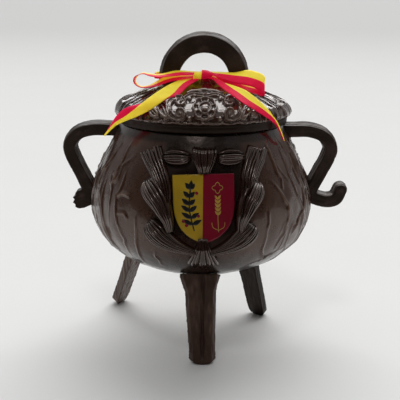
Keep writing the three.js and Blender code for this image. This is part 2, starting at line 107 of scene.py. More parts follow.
def leftward(line: Array) -> Array:
    """Unit vectors to the left of a flat line."""
    ahead = unit(np.gradient(line, axis=0))
    return np.stack([-ahead[:, 1], ahead[:, 0]], 1)


def arc(start: float, stop: float, count: int) -> Array:
    """Points of the unit circle between two angles in degrees."""
    turn = np.radians(np.linspace(start, stop, count))
    return np.stack([np.cos(turn), np.sin(turn)], 1)


def spun(shape: Array, turn: float) -> Array:
    """A flat shape, turned to the left by radians."""
    return shape @ np.array([[math.cos(turn), math.sin(turn)], [-math.sin(turn), math.cos(turn)]])


def mirrored(side: Array) -> Array:
    """A closed shape from its right side, which starts and ends on the middle line."""
    return np.vstack([side, (side * (-1, 1))[::-1]])


def running(steps: Array) -> Array:
    """The running total of steps, from 0."""
    return np.concatenate([[0], np.cumsum(steps)])


def lengths(line: Array) -> Array:
    """How far along a line each of its points lies."""
    return running(np.linalg.norm(np.diff(line, axis=0), axis=1))


def gap_to(x: Array, y: Array, dx: Array | float, dy: float) -> Array:
    """Distance of places from the straight line between (0, 0) and (dx, dy)."""
    t = np.clip((x * dx + y * dy) / np.maximum(dx**2 + dy**2, 1e-9), 0, 1)
    return np.hypot(x - t * dx, y - t * dy)


def spline(points: Sequence[Sequence[float]], count: int) -> Array:
    """Samples of a Catmull-Rom curve through points, spaced evenly by its parameter."""
    p = np.asarray(points, float)
    p = np.vstack([2 * p[0] - p[1], p, 2 * p[-1] - p[-2]])
    spans = len(p) - 3
    t = np.linspace(0, spans, count)
    i = np.minimum(t.astype(int), spans - 1)
    f = (t - i)[:, None]
    a, b, c, d = (p[i + k] for k in range(4))
    cubic = (3 * b - a - 3 * c + d) * f**3
    return 0.5 * (2 * b + (c - a) * f + (2 * a - 5 * b + 4 * c - d) * f**2 + cubic)


def spread_turns(count: int, gain: float, near: float, far: float, samples: int) -> Array:
    """Angles round a full turn, closer together at the front.

    Args:
        count: How many.
        gain: How much denser they are at the front, 0 for even.
        near: Angle up to which they are densest.
        far: Angle from which they are sparsest.
        samples: How finely the density is summed.

    Returns:
        The angles, from half a turn on the left.
    """
    fine = np.linspace(-math.pi, math.pi, samples)
    density = 1 + gain * (1 - smooth_step(np.abs(fine), near, far))
    share = running((density[1:] + density[:-1]) / 2)
    return np.interp(np.arange(count) / count, share / share[-1], fine)


class Noise:
    """Seeded smooth noise on points in millimetres, from -1 to 1."""

    CELLS = 32
    OCTAVE_SHIFT = 17.3

    def __init__(self, seed: int) -> None:
        """Draws the lattice of the noise from its seed."""
        self.lattice = np.random.default_rng(seed).uniform(-1, 1, (self.CELLS,) * 3)

    def __call__(self, points: Array, pitch: float | Sequence[float], octaves: int = 1) -> Array:
        """Samples the noise.

        Args:
            points: An array of points.
            pitch: Distance between the noise's features, one number or one for each axis.
            octaves: How many ever finer copies are summed.

        Returns:
            One value for each point.
        """
        total = np.zeros(points.shape[:-1])
        for k in range(octaves):
            p = points / np.asarray(pitch) * 2**k + self.OCTAVE_SHIFT * k
            cell = np.floor(p).astype(int)
            f = smooth_step(p - cell, 0, 1)
            for corner in np.ndindex(2, 2, 2):
                at = tuple(np.moveaxis((cell + corner) % self.CELLS, -1, 0))
                total += self.lattice[at] * np.where(corner, f, 1 - f).prod(-1) / 2**k
        return total


# ---------------------------------------------------------------- meshes


@dataclass(frozen=True)
class Bench:
    """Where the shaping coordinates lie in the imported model's frame."""

    origin: Array

    @classmethod
    def from_frame(cls, lid_offset: float = 0.9) -> Bench:
        """Finds the belly's axis from the lid, which sits lid_offset millimetres to one side."""
        low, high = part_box("lid")
        middle = (low + high) / 2
        return cls(np.array([middle.x - lid_offset * MM, middle.y, 0.0]))

    def place(self, points: Array) -> Array:
        """Millimetres on the bench to metres in the frame."""
        return points * MM + self.origin

    def read(self, piece: Piece) -> Array:
        """A piece's vertices in millimetres on the bench."""
        return (vertex_values(piece, "co") - self.origin) / MM

    def write(self, piece: Piece, points: Array) -> None:
        """Moves a piece's vertices to points in millimetres on the bench."""
        piece.data.vertices.foreach_set("co", self.place(points).ravel())
        piece.data.update()

    def push(self, piece: Piece, heights: Array) -> None:
        """Moves vertices out along their normals by millimetres, and notes those as relief."""
        self.write(piece, self.read(piece) + vertex_values(piece, "normal") * heights[:, None])
        note_relief(piece, heights)


@dataclass
class Skin:
    """Points in millimetres with faces, gathered for one mesh."""

    points: list[Array] = field(default_factory=list)
    faces: list[Array] = field(default_factory=list)
    values: list[Array] = field(default_factory=list)
    count: int = 0

    def add(self, points: Array, faces: Iterable[Array], values: Array | None = None) -> None:
        """Adds points with faces.

        Args:
            points: The new points.
            faces: Arrays of triangles, quads or larger faces, which index the new points.
            values: Two numbers for each point, for the UV map, or none.
        """
        self.points.append(points)
        self.values.append(np.zeros((len(points), 2)) if values is None else values)
        self.faces.extend(f + self.count for f in faces)
        self.count += len(points)

    def loft(self, rings: Array, values: Array | None = None) -> None:
        """Joins closed rings of points into a tube, with a fan of faces over each end.

        Args:
            rings: Points by ring and by place on the ring.
            values: Two numbers for each point, for the UV map, or none.
        """
        rows, cols = rings.shape[:2]
        total = rows * cols
        flat = np.zeros((total, 2)) if values is None else values.reshape(-1, 2)
        here = np.arange(total).reshape(rows, cols)
        there = np.roll(here, -1, axis=1)
        quads = np.stack([here[:-1], there[:-1], there[1:], here[1:]], -1).reshape(-1, 4)
        first = np.stack([there[0], here[0], np.full(cols, total)], 1)
        last = np.stack([here[-1], there[-1], np.full(cols, total + 1)], 1)
        points = np.vstack([rings.reshape(-1, 3), rings[0].mean(0), rings[-1].mean(0)])
        flat = np.vstack([flat, flat[:cols].mean(0), flat[-cols:].mean(0)])
        self.add(points, [quads, first, last], flat)

    def build(self, name: str, bench: Bench, material: Material) -> Piece:
        """Makes the mesh and its object, with faces turned outwards.

        Args:
            name: The object's name.
            bench: Where the bench lies in the frame.
            material: The finish of every face.

        Returns:
            The new object, at the origin with its place in its mesh.
        """
        mesh = bpy.data.meshes.new(name)
        points = bench.place(np.vstack(self.points))
        sizes = np.concatenate([np.full(len(f), f.shape[1]) for f in self.faces])
        corners = np.concatenate([f.ravel() for f in self.faces])
        mesh.vertices.add(len(points))
        mesh.vertices.foreach_set("co", points.ravel())
        mesh.loops.add(len(corners))
        mesh.loops.foreach_set("vertex_index", corners)
        mesh.polygons.add(len(sizes))
        mesh.polygons.foreach_set("loop_start", running(sizes)[:-1].astype(int))
        mesh.polygons.foreach_set("loop_total", sizes)
        mesh.polygons.foreach_set("use_smooth", np.ones(len(sizes), bool))
        layer = mesh.uv_layers.new(name="along")
        layer.data.foreach_set("uv", np.vstack(self.values)[corners].ravel())
        mesh.update(calc_edges=True)
        mesh.validate()
        turn_outwards(mesh)
        mesh.materials.append(material)
        return place_object(name, mesh)


def turn_outwards(mesh: bpy.types.Mesh, weld: float = 0.0) -> None:
    """Turns every face of a closed mesh outwards, with vertices closer than weld made one."""
    work = bmesh.new()
    work.from_mesh(mesh)
    if weld:
        bmesh.ops.remove_doubles(work, verts=work.verts, dist=weld)
    bmesh.ops.recalc_face_normals(work, faces=work.faces)
    work.to_mesh(mesh)
    work.free()


def place_object(name: str, data: bpy.types.ID | None) -> Piece:
    """Links an object of that name, with its mesh, camera or light, into the scene."""
    piece = bpy.data.objects.new(name, data)
    bpy.context.collection.objects.link(piece)
    return piece


def settle(piece: Piece) -> None:
    """Bakes a piece's modifiers into its mesh and removes them."""
    bpy.context.view_layer.update()
    graph = bpy.context.evaluated_depsgraph_get()
    mesh = bpy.data.meshes.new_from_object(piece.evaluated_get(graph))
    piece.modifiers.clear()
    piece.data = mesh


def recast(piece: Piece, voxel: float, rounds: int, material: Material) -> None:
    """Melts a piece's overlapping parts into one skin with softened edges.

    Args:
        piece: The object, whose mesh is replaced.
        voxel: Size of the new skin's faces, in millimetres.
        rounds: How many times the skin is smoothed.
        material: The finish that the new skin gets.
    """
    remesh = piece.modifiers.new("one_skin", "REMESH")
    remesh.mode, remesh.voxel_size = "VOXEL", voxel * MM
    soften = piece.modifiers.new("soften", "SMOOTH")
    soften.factor, soften.iterations = 0.5, rounds
    settle(piece)
    piece.data.materials.clear()
    piece.data.materials.append(material)
    piece.data.shade_smooth()


def vertex_values(piece: Piece, what: str) -> Array:
    """The place ("co") or the normal ("normal") of each of a piece's vertices."""
    values = np.zeros(len(piece.data.vertices) * 3)
    piece.data.vertices.foreach_get(what, values)
    return values.reshape(-1, 3)


def note_relief(piece: Piece, heights: Array) -> None:
    """Keeps heights in millimetres as the vertex attribute that the finishes read; on the belly, values below
    -0.3 carry painted shade instead.
    """
    layer = piece.data.attributes.new("relief", "FLOAT", "POINT")
    layer.data.foreach_set("value", heights.astype(np.float32))


def hand_over(piece: Piece, node: str, slot: Slot = Slot.CHOCOLATE) -> None:
    """Lets a finished piece stand for a CAD node, whose part it hides."""
    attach(piece, "root")
    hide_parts(node)
    LOG.info("%s: %d faces, stands for %s", piece.name, len(piece.data.polygons), node)


# ---------------------------------------------------------------- node recipes and finishes


class Sock:
    """A number socket of a node tree; each operator adds a Math node."""

    def __init__(self, recipe: Recipe, socket: bpy.types.NodeSocket) -> None:
        """Wraps a socket of the recipe's tree."""
        self.recipe = recipe
        self.socket = socket

    def math(self, operation: str, *operands: Sock | float) -> Sock:
        """The result of a new Math node for operands in the node's order."""
        return self.recipe.node("ShaderNodeMath", {"operation": operation}, dict(enumerate(operands)))

    def __add__(self, other: Sock | float) -> Sock:
        """The sum."""
        return self.math("ADD", self, other)

    def __mul__(self, other: Sock | float) -> Sock:
        """The product."""
        return self.math("MULTIPLY", self, other)

    def __sub__(self, other: Sock | float) -> Sock:
        """The difference."""
        return self.math("SUBTRACT", self, other)

    def __rsub__(self, other: float) -> Sock:
        """The difference, the other way round."""
        return self.math("SUBTRACT", other, self)

    __radd__ = __add__
    __rmul__ = __mul__

    def sine(self) -> Sock:
        """The sine."""
        return self.math("SINE", self)

    def absolute(self) -> Sock:
        """The value without its sign."""
        return self.math("ABSOLUTE", self)

    def limited(self) -> Sock:
        """The value held between 0 and 1."""
        return self.math("MINIMUM", self.math("MAXIMUM", self, 0.0), 1.0)

    def ramp(self, low: float, high: float) -> Sock:
        """Maps low to 0 and high to 1, smoothly, and holds it there."""
        inputs = {"Value": self, "From Min": low, "From Max": high}
        return self.recipe.node("ShaderNodeMapRange", {"interpolation_type": "SMOOTHSTEP"}, inputs)


Value = Sock | float | int | tuple


class Recipe:
    """The node tree of a material, of the world or of a geometry modifier."""

    def __init__(self, tree: bpy.types.NodeTree) -> None:
        """Empties the tree."""
        self.tree = tree
        tree.nodes.clear()

    @classmethod
    def dress(cls, owner: Material | bpy.types.World) -> Recipe:
        """A recipe for a material or the world."""
        owner.use_nodes = True
        return cls(owner.node_tree)

    def node(
        self,
        kind: str,
        settings: dict[str, object] | None = None,
        inputs: dict[str | int, Value] | None = None,
        output: str | int = 0,
    ) -> Sock:
        """Adds a node, sets it, and then fills or links its inputs.

        Args:
            kind: The node's type.
            settings: Properties by name.
            inputs: Values or sockets, by the input's name or number.
            output: The output that is wanted.

        Returns:
            That output.
        """
        node = self.tree.nodes.new(kind)
        for name, value in (settings or {}).items():
            setattr(node, name, value)
        for name, value in (inputs or {}).items():
            if isinstance(value, Sock):
                self.tree.links.new(value.socket, node.inputs[name])
            else:
                node.inputs[name].default_value = value
        return Sock(self, node.outputs[output])

    def end(self, kind: str, result: Sock) -> None:
        """Links a result to the tree's output node."""
        self.tree.links.new(result.socket, self.tree.nodes.new(kind).inputs[0])

    def axes(self, source: str = "Object") -> tuple[Sock, Sock, Sock]:
        """The coordinates from a source, axis by axis."""
        place = self.node("ShaderNodeTexCoord", output=source)
        first = self.node("ShaderNodeSeparateXYZ", inputs={0: place})
        x, y, z = (Sock(self, output) for output in first.socket.node.outputs)
        return x, y, z

    def noise(self, pitch: float, detail: float = 2.0) -> Sock:
        """Noise about 0.5, with features of a size in millimetres and so many finer octaves."""
        place = self.node("ShaderNodeTexCoord", output="Object")
        inputs = {"Vector": place, "Scale": 1 / (pitch * MM), "Detail": detail}
        return self.node("ShaderNodeTexNoise", inputs=inputs)

    def mix(self, factor: Sock, low: Sock | Colour, high: Sock | Colour) -> Sock:
        """The colour between two, low where the factor is 0 and high where it is 1."""
        low, high = (c if isinstance(c, Sock) else (*c, 1.0) for c in (low, high))
        return self.node("ShaderNodeMix", {"data_type": "RGBA"}, {0: factor, 6: low, 7: high}, 2)

    def bump(self, height: Sock, millimetres: float) -> Sock:
        """A normal that follows a height from 0 to 1, that many millimetres high."""
        inputs = {"Height": height, "Distance": millimetres * MM, "Strength": 1.0}
        return self.node("ShaderNodeBump", inputs=inputs)

    def surface(self, **inputs: Value) -> None:
        """Ends the recipe in a Principled surface, with _ for the blanks in its inputs' names."""
        named = {name.replace("_", " "): value for name, value in inputs.items()}
        self.end("ShaderNodeOutputMaterial", self.node("ShaderNodeBsdfPrincipled", inputs=named))


@dataclass(frozen=True)
class Finish:
    """A surface that makes its material under its own name."""

    name: str

    def make(self) -> Material:
        """Builds the material."""
        material = bpy.data.materials.new(self.name)
        self.cook(Recipe.dress(material))
        return material

    def cook(self, recipe: Recipe) -> None:
        """Fills the recipe; each kind of finish has its own."""
        raise NotImplementedError


@dataclass(frozen=True)
class ChocolateFinish(Finish):
    """Tempered dark chocolate: glossy, slightly wavy, paler in random bloom and where it is raised, the raised
    part partly wear and partly a painted highlight; negative relief paints shade.
    """

    dark: Colour
    # Pale colour of raised parts: partly wear, partly a painted highlight on the crests.
    worn_and_highlight: Colour = (0.130, 0.080, 0.060)
    shaded: Colour = (0.004, 0.002, 0.0015)
    worn_and_highlight_from: float = 0.15
    worn_and_highlight_to: float = 1.1
    gloss: float = 0.45
    shine: float = 0.5
    coat: float = 0.0
    wave: float = 0.08
    grain: float = 0.012

    def cook(self, recipe: Recipe) -> None:
        """Mixes the chocolate; raised relief is painted paler, partly as wear and partly as a highlight, and a
        relief below -0.3 mm stands for painted shade.
        """
        patches = recipe.noise(11.0, 3.0)
        fine = recipe.noise(0.9, 4.0)
        raised = recipe.node("ShaderNodeAttribute", {"attribute_name": "relief"}, output="Fac")
        relief = raised.ramp(self.worn_and_highlight_from, self.worn_and_highlight_to)
        # Paler in random bloom patches, and on raised relief partly as wear and partly as a painted highlight.
        bloom_wear_and_highlight = (relief * 0.75 + (patches - 0.45) * 0.5 + (fine - 0.5) * 0.15).limited()
        depth = self.wave + self.grain
        height = recipe.noise(3.2) * (self.wave / depth) + recipe.noise(0.55, 3.0) * (self.grain / depth)
        hue = recipe.mix(bloom_wear_and_highlight, self.dark, self.worn_and_highlight)
        recipe.surface(
            # Painted shade: relief below -0.3 darkens the colour down to the shaded one.
            Base_Color=recipe.mix(raised.ramp(-1.0, -0.3), self.shaded, hue),
            Roughness=self.gloss + (patches - 0.5) * 0.16 + (fine - 0.5) * 0.06 + relief * 0.05,
            Normal=recipe.bump(height, depth),
            Specular_IOR_Level=self.shine,
            Specular_Tint=(1.0, 0.80, 0.70, 1.0),
            Coat_Weight=self.coat,
            Coat_Roughness=0.07,
        )


@dataclass(frozen=True)
class SatinFinish(Finish):
    """Woven satin, one lengthwise half of one colour and the other of another, with painted shade in its folds
    and a faint painted glow.
    """

    left: Colour = (1.0, 0.78, 0.045)
    right: Colour = (0.86, 0.008, 0.060)
    threads: float = 42.0
    rows: float = 3.6

    def cook(self, recipe: Recipe) -> None:
        """Weaves the satin; the UV map holds the place across and the millimetres along."""
        across, along, _ = recipe.axes("UV")
        warp = (across * (self.threads * FULL_TURN)).sine()
        weft = (along * (self.rows * FULL_TURN)).sine()
        ragged = across + warp * 0.002 + weft * 0.002
        hue = recipe.mix(ragged.ramp(0.495, 0.505), self.left, self.right)
        fold = recipe.noise(2.6)
        # Darkened by a small even share, a little along the threads as the weave's pattern, and in random soft
        # folds as painted shade.
        shade = (warp * 0.05 + weft * 0.04 + (fold - 0.5) * 0.3 + 0.12).limited()
        edge = (across - 0.5).absolute().ramp(0.47, 0.49)
        height = warp * 0.25 + weft * 0.25 + 0.5 + edge * 0.5
        recipe.surface(
            Base_Color=recipe.mix(shade, hue, (0.0, 0.0, 0.0)),
            Roughness=0.48 + (fold - 0.5) * 0.15 + weft * 0.03,
            Normal=recipe.bump(height, 0.03),
            Specular_IOR_Level=0.06,
            Subsurface_Weight=0.35,
            Subsurface_Radius=(1.0, 1.0, 1.0),
            Subsurface_Scale=0.0012,
            # Painted light: the satin glows faintly in its own colour, standing in for light let through it.
            Emission_Color=hue,
            Emission_Strength=0.17,
        )


@dataclass(frozen=True)
class GlazeFinish(Finish):
    """Hard glazed sugar: one colour on each side of a middle line, at that x in metres."""

    left: Colour
    right: Colour
    middle: float = 0.0
    gloss: float = 0.2

    def cook(self, recipe: Recipe) -> None:
        """Glazes both halves."""
        cloud = recipe.noise(7.0, 3.0)
        fine = recipe.noise(0.5)
        x, _, _ = recipe.axes()
        line = (x + (fine - 0.5) * 0.0002).ramp(self.middle - 0.00012, self.middle + 0.00012)
        hue = recipe.mix(line, self.left, self.right)
        recipe.surface(
            Base_Color=recipe.mix(((cloud - 0.4) * 0.5).limited(), hue, (0.01, 0.004, 0.002)),
            Roughness=self.gloss + (cloud - 0.5) * 0.12,
            Normal=recipe.bump(cloud * 0.7 + fine * 0.3, 0.03),
            Coat_Weight=0.12,
            Coat_Roughness=0.08,
        )


@dataclass(frozen=True)
class PlainFinish(Finish):
    """One even dull colour."""

    colour: Colour

    def cook(self, recipe: Recipe) -> None:
        """Colours it."""
        recipe.surface(Base_Color=(*self.colour, 1.0), Roughness=1.0)


@dataclass(frozen=True)
class PaperFinish(Finish):
    """Paper with faint clouds, painted greyer towards the far side, from_to metres away, as painted shade where
    the light falls off.
    """

    near: Colour
    faint_share: float = 0.97
    far_falloff_share: float = 0.78
    from_to: Pair = (0.6, 3.0)

    def cook(self, recipe: Recipe) -> None:
        """Clouds the paper."""
        faint, far = (tuple(k * c for c in self.near) for k in (self.faint_share, self.far_falloff_share))
        paper = recipe.mix(recipe.noise(90.0), faint, self.near)
        _, depth, _ = recipe.axes()
        recipe.surface(
            # Painted shade: the floor turns greyer with distance, where the light falls off.
            Base_Color=recipe.mix(depth.ramp(*self.from_to), paper, far),
            Roughness=0.9,
            Specular_IOR_Level=0.1,
        )


# ---------------------------------------------------------------- round reeds along lines


@dataclass(frozen=True)
class Strand:
    """One line that a round reed or fibre follows, in millimetres."""

    points: Array
    radii: Array


class StrandTree:
    """Geometry Nodes tree that turns wire lines into round, slightly wavering strands."""

    GIVEN = {
        "Lines": "Geometry", "Sides": "Int", "Thickness": "Float", "Waver": "Float",
        "Waver Pitch": "Float", "Seed": "Float", "Material": "Material",
    }

    def __init__(self) -> None:
        """Builds the tree and its named inputs."""
        self.tree = bpy.data.node_groups.new("strands_along_lines", "GeometryNodeTree")
        for name, kind in self.GIVEN.items():
            self.tree.interface.new_socket(name, in_out="INPUT", socket_type=f"NodeSocket{kind}")
        self.tree.interface.new_socket("Strands", in_out="OUTPUT", socket_type="NodeSocketGeometry")
        recipe = Recipe(self.tree)
        add = recipe.node
        given = {name: add("NodeGroupInput", output=name) for name in self.GIVEN}
        curve = add("GeometryNodeMeshToCurve", inputs={"Mesh": given["Lines"]})
        pitch = {"W": given["Seed"], "Scale": given["Waver Pitch"], "Detail": 1.0}
        noise = add("ShaderNodeTexNoise", {"noise_dimensions": "4D"}, pitch, "Color")
        middle = add("ShaderNodeVectorMath", {"operation": "SUBTRACT"}, {0: noise, 1: (0.5, 0.5, 0.5)})
        offset = add("ShaderNodeVectorMath", {"operation": "SCALE"}, {0: middle, "Scale": given["Waver"]})
        moved = add("GeometryNodeSetPosition", inputs={"Geometry": curve, "Offset": offset})
        thick = add("GeometryNodeInputNamedAttribute", {"data_type": "FLOAT"}, {"Name": "thick"})
        ring = add("GeometryNodeCurvePrimitiveCircle", inputs={"Resolution": given["Sides"], "Radius": 1.0})
        sweep = {"Curve": moved, "Profile Curve": ring, "Scale": thick * given["Thickness"]}
        tube = add("GeometryNodeCurveToMesh", inputs=sweep | {"Fill Caps": True})
        smooth = add("GeometryNodeSetShadeSmooth", inputs={"Geometry": tube})
        whole = add("GeometryNodeRealizeInstances", inputs={"Geometry": smooth})
        dressed = {"Geometry": whole, "Material": given["Material"]}
        recipe.end("NodeGroupOutput", add("GeometryNodeSetMaterial", inputs=dressed))

    def grow(self, name: str, strands: Sequence[Strand], bench: Bench, **inputs: object) -> Piece:
        """Makes one mesh of strands.

        Args:
            name: The new object's name.
            strands: The lines to follow.
            bench: Where the bench lies in the frame.
            **inputs: The tree's inputs, with _ for the blanks in their names.

        Returns:
            The object, a plain mesh with no modifier left.
        """
        points = bench.place(np.vstack([s.points for s in strands]))
        starts = running([len(s.points) for s in strands]).astype(int)
        edges = [(i, i + 1) for a, b in zip(starts, starts[1:]) for i in range(a, b - 1)]
        mesh = bpy.data.meshes.new(name)
        mesh.from_pydata(points.tolist(), edges, [])
        thick = mesh.attributes.new("thick", "FLOAT", "POINT")
        thick.data.foreach_set("value", np.concatenate([s.radii for s in strands]) * MM)
        piece = place_object(name, mesh)
        modifier = piece.modifiers.new("strands", "NODES")
        modifier.node_group = self.tree
        keys = {i.name: i.identifier for i in self.tree.interface.items_tree}
        for label, value in inputs.items():
            modifier[keys[label.replace("_", " ")]] = value
        settle(piece)
        turn_outwards(piece.data)
        return piece


@dataclass
class Assembly:
    """A sub-assembly of the cauldron, shaped on a bench and dressed in a main finish."""

    bench: Bench
    finish: Material


# ---------------------------------------------------------------- belly


@dataclass(frozen=True)
class Vein:
    """A raised line on the belly, as (turn in radians, millimetres up the profile) points."""

    points: Array
    height: float
    width: float


@dataclass
class Belly(Assembly):
    """The round body, with bark-like veins and a smooth flat field at the front."""

    axis_x: float = 0.5
    radius: float = 54.1
    widest: float = 70.0
    bottom: float = 34.8
    rim: float = 109.2
    fullness: float = 2.1
    slope: float = 0.628
    bend: float = 20.0
    field_depth: float = 51.0
    field_at: float = 66.0
    field_lean: float = math.radians(9.1)
    under_plaque: float = 0.3
    field_blend: float = 0.5
    columns: int = 560
    rows: int = 165
    side_veins: int = 17
    seed: int = 11

    # Veins that show at the front, as (turn in degrees, height) points.
    front_veins: tuple[tuple[Pair, ...], ...] = (
        ((-45, 90), (-45, 85), (-47.7, 79.5), (-47.8, 75), (-46, 69.5), (-43.8, 63),
         (-42.7, 55.5), (-46.8, 49)),
        ((-33.8, 71.5), (-34.1, 66), (-34.1, 59.7), (-35.6, 51.3), (-40, 46)),
        ((-61.8, 85), (-61.2, 79.4), (-60.9, 74), (-59.6, 69), (-57, 63), (-55.6, 57), (-54.3, 52)),
        ((-47.5, 78.8), (-44, 81.2), (-38.3, 81)),
        ((-46.5, 71.6), (-41, 73), (-37.6, 71)),
        ((-25, 56), (-25, 51), (-24.7, 48)),
        ((39, 88.3), (43.9, 83), (47.2, 78), (48.8, 72), (46.9, 66), (45.6, 60), (44.4, 55)),
        ((34.6, 74), (35, 69), (34.3, 62), (35.8, 53.8), (40, 48)),
        ((65.6, 82.4), (65.4, 77), (61.6, 71), (56.8, 66.6), (54.5, 61.4)),
        ((27.2, 46), (36.2, 48.7), (42.9, 51.5), (52, 53.3)),
        ((-49.3, 103.5), (-50.7, 96.6), (-52.5, 89.5), (-53.7, 82.4)),
        ((-58.3, 101), (-63.9, 95), (-66.6, 88), (-69, 82)),
        ((46.2, 107), (43.6, 102), (45.9, 96.3), (46.3, 91), (47.7, 84)),
        ((70.3, 102), (71.6, 94.5), (73.9, 85.4)),
    )

    def radius_at(self, z: Array) -> Array:
        """Radius of the plain belly at heights z."""
        above = self.radius - self.slope * (np.hypot(self.bend, z - self.widest) - self.bend)
        drop = np.clip((self.widest - z) / (self.widest - self.bottom), 0, 1)
        below = self.radius * (1 - drop**self.fullness) ** (1 / self.fullness)
        return np.where(z >= self.widest, above, below)

    def profile(self) -> tuple[Array, Array, Array]:
        """The plain profile from the bottom's middle to the rim.

        Returns:
            Distance along the profile, radius and height, as fine samples.
        """
        angle = np.linspace(0, math.pi / 2, 400)
        power = 2 / self.fullness
        z_high = np.linspace(self.widest, self.rim, 200)[1:]
        r = np.concatenate([self.radius * np.sin(angle) ** power, self.radius_at(z_high)])
        z = np.concatenate([self.widest - (self.widest - self.bottom) * np.cos(angle) ** power, z_high])
        return lengths(np.stack([r, z], 1)), r, z

    def at(self, x: Array, z: Array, lift: Array | float) -> Array:
        """Points on the belly at places across and heights, that many millimetres above it."""
        radius = self.radius_at(z)
        turn = np.arcsin(np.clip(x / radius, -0.99, 0.99))
        return self.round(turn, radius + lift, z)

    def round(self, turn: Array, radius: Array, z: Array) -> Array:
        """Points at angles, radii and heights about the belly's own axis."""
        return xyz(self.axis_x + radius * np.sin(turn), -radius * np.cos(turn), z)

    def veins(self) -> list[Vein]:
        """The front veins, and grown ones round the sides and the back, all a little wavy."""
        along, _, height = self.profile()
        found = []
        for points in self.front_veins:
            turn, z = np.array(points, float).T
            line = np.stack([np.radians(turn), np.interp(z, height, along)], 1)
            found.append(Vein(spline(line, 5 * len(line)), 1.0, 0.6))
        found += self.grown_veins(float(along[-1]))
        return [replace(vein, points=self.wavy(vein.points)) for vein in found]

    def wavy(self, line: Array) -> Array:
        """A vein's points, shifted a little to and fro."""
        noise = Noise(self.seed + 1)
        at = xyz(line[:, 0] * self.radius, line[:, 1])
        return line + np.stack([noise(at, 3.6) * 1.1 / self.radius, noise(at + 70, 5.0) * 0.8], 1)

    def grown_veins(self, top: float) -> list[Vein]:
        """Long wandering veins with two short links each, over a profile of length top."""
        rng = np.random.default_rng(self.seed)
        found = []
        for side in (-1, 1):
            for turn in np.radians(np.linspace(60, 178, self.side_veins)):
                low, high = rng.uniform(6, 30), rng.uniform(0.72, 0.98) * top
                place = np.linspace(low, high, 14)
                sway = 0.075 * np.sin(place / 13 + 2.2 * turn + side)
                wander = np.cumsum(rng.normal(0, 0.006, len(place)))
                line = np.stack([side * (turn + sway + wander), place], 1)
                found.append(Vein(spline(line, 44), rng.uniform(0.45, 0.8), rng.uniform(0.55, 0.95)))
                for _ in range(2):
                    k = rng.integers(2, 11)
                    reach = side * rng.uniform(0.07, 0.13)
                    bow = rng.uniform(-4, 4)
                    link = [line[k], line[k] + (reach / 2, bow), line[k] + (reach, bow * 0.6)]
                    found.append(Vein(spline(link, 10), rng.uniform(0.3, 0.6), 0.6))
        return found

    def vein_relief(self, turn: Array, place: Array, radius: Array) -> Array:
        """Height of the veins over the grid.

        Args:
            turn: Angle of each column.
            place: Distance of each row along the profile.
            radius: Radius of each row.

        Returns:
            Millimetres, by row and column.
        """
        relief = np.zeros((len(place), len(turn)))
        for vein in self.veins():
            reach = 3.2 * vein.width
            middle = len(vein.points) / 2
            for k, (a, b) in enumerate(zip(vein.points, vein.points[1:])):
                low, high = np.minimum(a, b), np.maximum(a, b)
                rows = slice(*np.searchsorted(place, [low[1] - reach, high[1] + reach]))
                if rows.start >= rows.stop:
                    continue
                wide = reach / max(radius[rows].min(), 6)
                r = radius[rows, None]
                fade = min(1.0, 0.25 + 1.5 * (1 - abs(k - middle) / middle))
                for shift in (-FULL_TURN, 0, FULL_TURN):
                    cols = slice(*np.searchsorted(turn, [low[0] + shift - wide, high[0] + shift + wide]))
                    x = (turn[None, cols] - a[0] - shift) * r
                    gap = gap_to(x, place[rows, None] - a[1], (b[0] - a[0]) * r, b[1] - a[1])
                    ridge = vein.height * fade * hump(gap, vein.width)
                    relief[rows, cols] = np.maximum(relief[rows, cols], ridge)
        return relief

    def texture(self, turn: Array, place: Array, radius: Array, height: Array) -> tuple[Array, Array]:
        """Fine relief and broad swells over the grid.

        Args:
            turn: Angle of each column.
            place: Distance of each row along the profile.
            radius: Radius of each row, as a column.
            height: Height of each row, as a column.

        Returns:
            Both in millimetres, by row and column.
        """
        noise = Noise(self.seed)
        grid = xyz(radius * np.sin(turn), -radius * np.cos(turn), height)
        front = 1 - smooth_step(np.abs(turn), 0.66, 0.85)
        swell = noise(grid, (9, 9, 17), 2) * (0.6 - 0.4 * front)
        web = hump(noise(grid + 90, (9, 9, 24), 2), 0.07) * (1 - front)
        web = web * 0.6 * smooth_step(noise(grid + 200, 15), -0.35, 0.25)
        veins = self.vein_relief(turn, place, radius[:, 0])
        relief = np.maximum(veins, web) * (0.8 + 0.5 * noise(grid + 10, 5))
        seam = hump((np.abs(turn) - math.pi / 2) * radius, 2.0)
        seam = seam * np.clip(0.35 + 1.1 * noise(grid + 50, 1.7, 2), 0, 2) * 0.75
        fade = smooth_step(radius, 8, 20) * (1 - 0.8 * smooth_step(height, 103, 107))
        return (relief + seam) * fade, swell * fade

    def make(self) -> None:
        """Builds the belly, whose front is cut down to the flat field under the plaque."""
        along, r, z = self.profile()
        place = np.linspace(0.4, along[-1], self.rows)
        radius, height = (np.interp(place, along, values)[:, None] for values in (r, z))
        turn = spread_turns(self.columns, 1.1, 1.2, 1.6, 2000)
        relief, swell = self.texture(turn, place, radius, height)
        wanted = radius + relief + swell
        depth = self.field_depth - self.under_plaque - (height - self.field_at) * math.tan(self.field_lean)
        with np.errstate(divide="ignore"):
            cut = np.where(np.cos(turn) > 0.2, depth / np.cos(turn), 1e3)
        gap = np.abs(wanted - cut)
        soft = self.field_blend * np.log1p(np.exp(-gap / self.field_blend)) * (gap < 6)
        rings = self.round(turn, np.minimum(wanted, cut) - soft, height)
        middle = np.array([self.axis_x, 0, 0])
        closing = [(rings[-1] - middle) * (k, k, 1) + middle for k in (0.97, 0.6, 0.2)]
        skin = Skin()
        skin.loft(np.concatenate([rings, closing]))
        piece = skin.build("cauldron_belly", self.bench, self.finish)
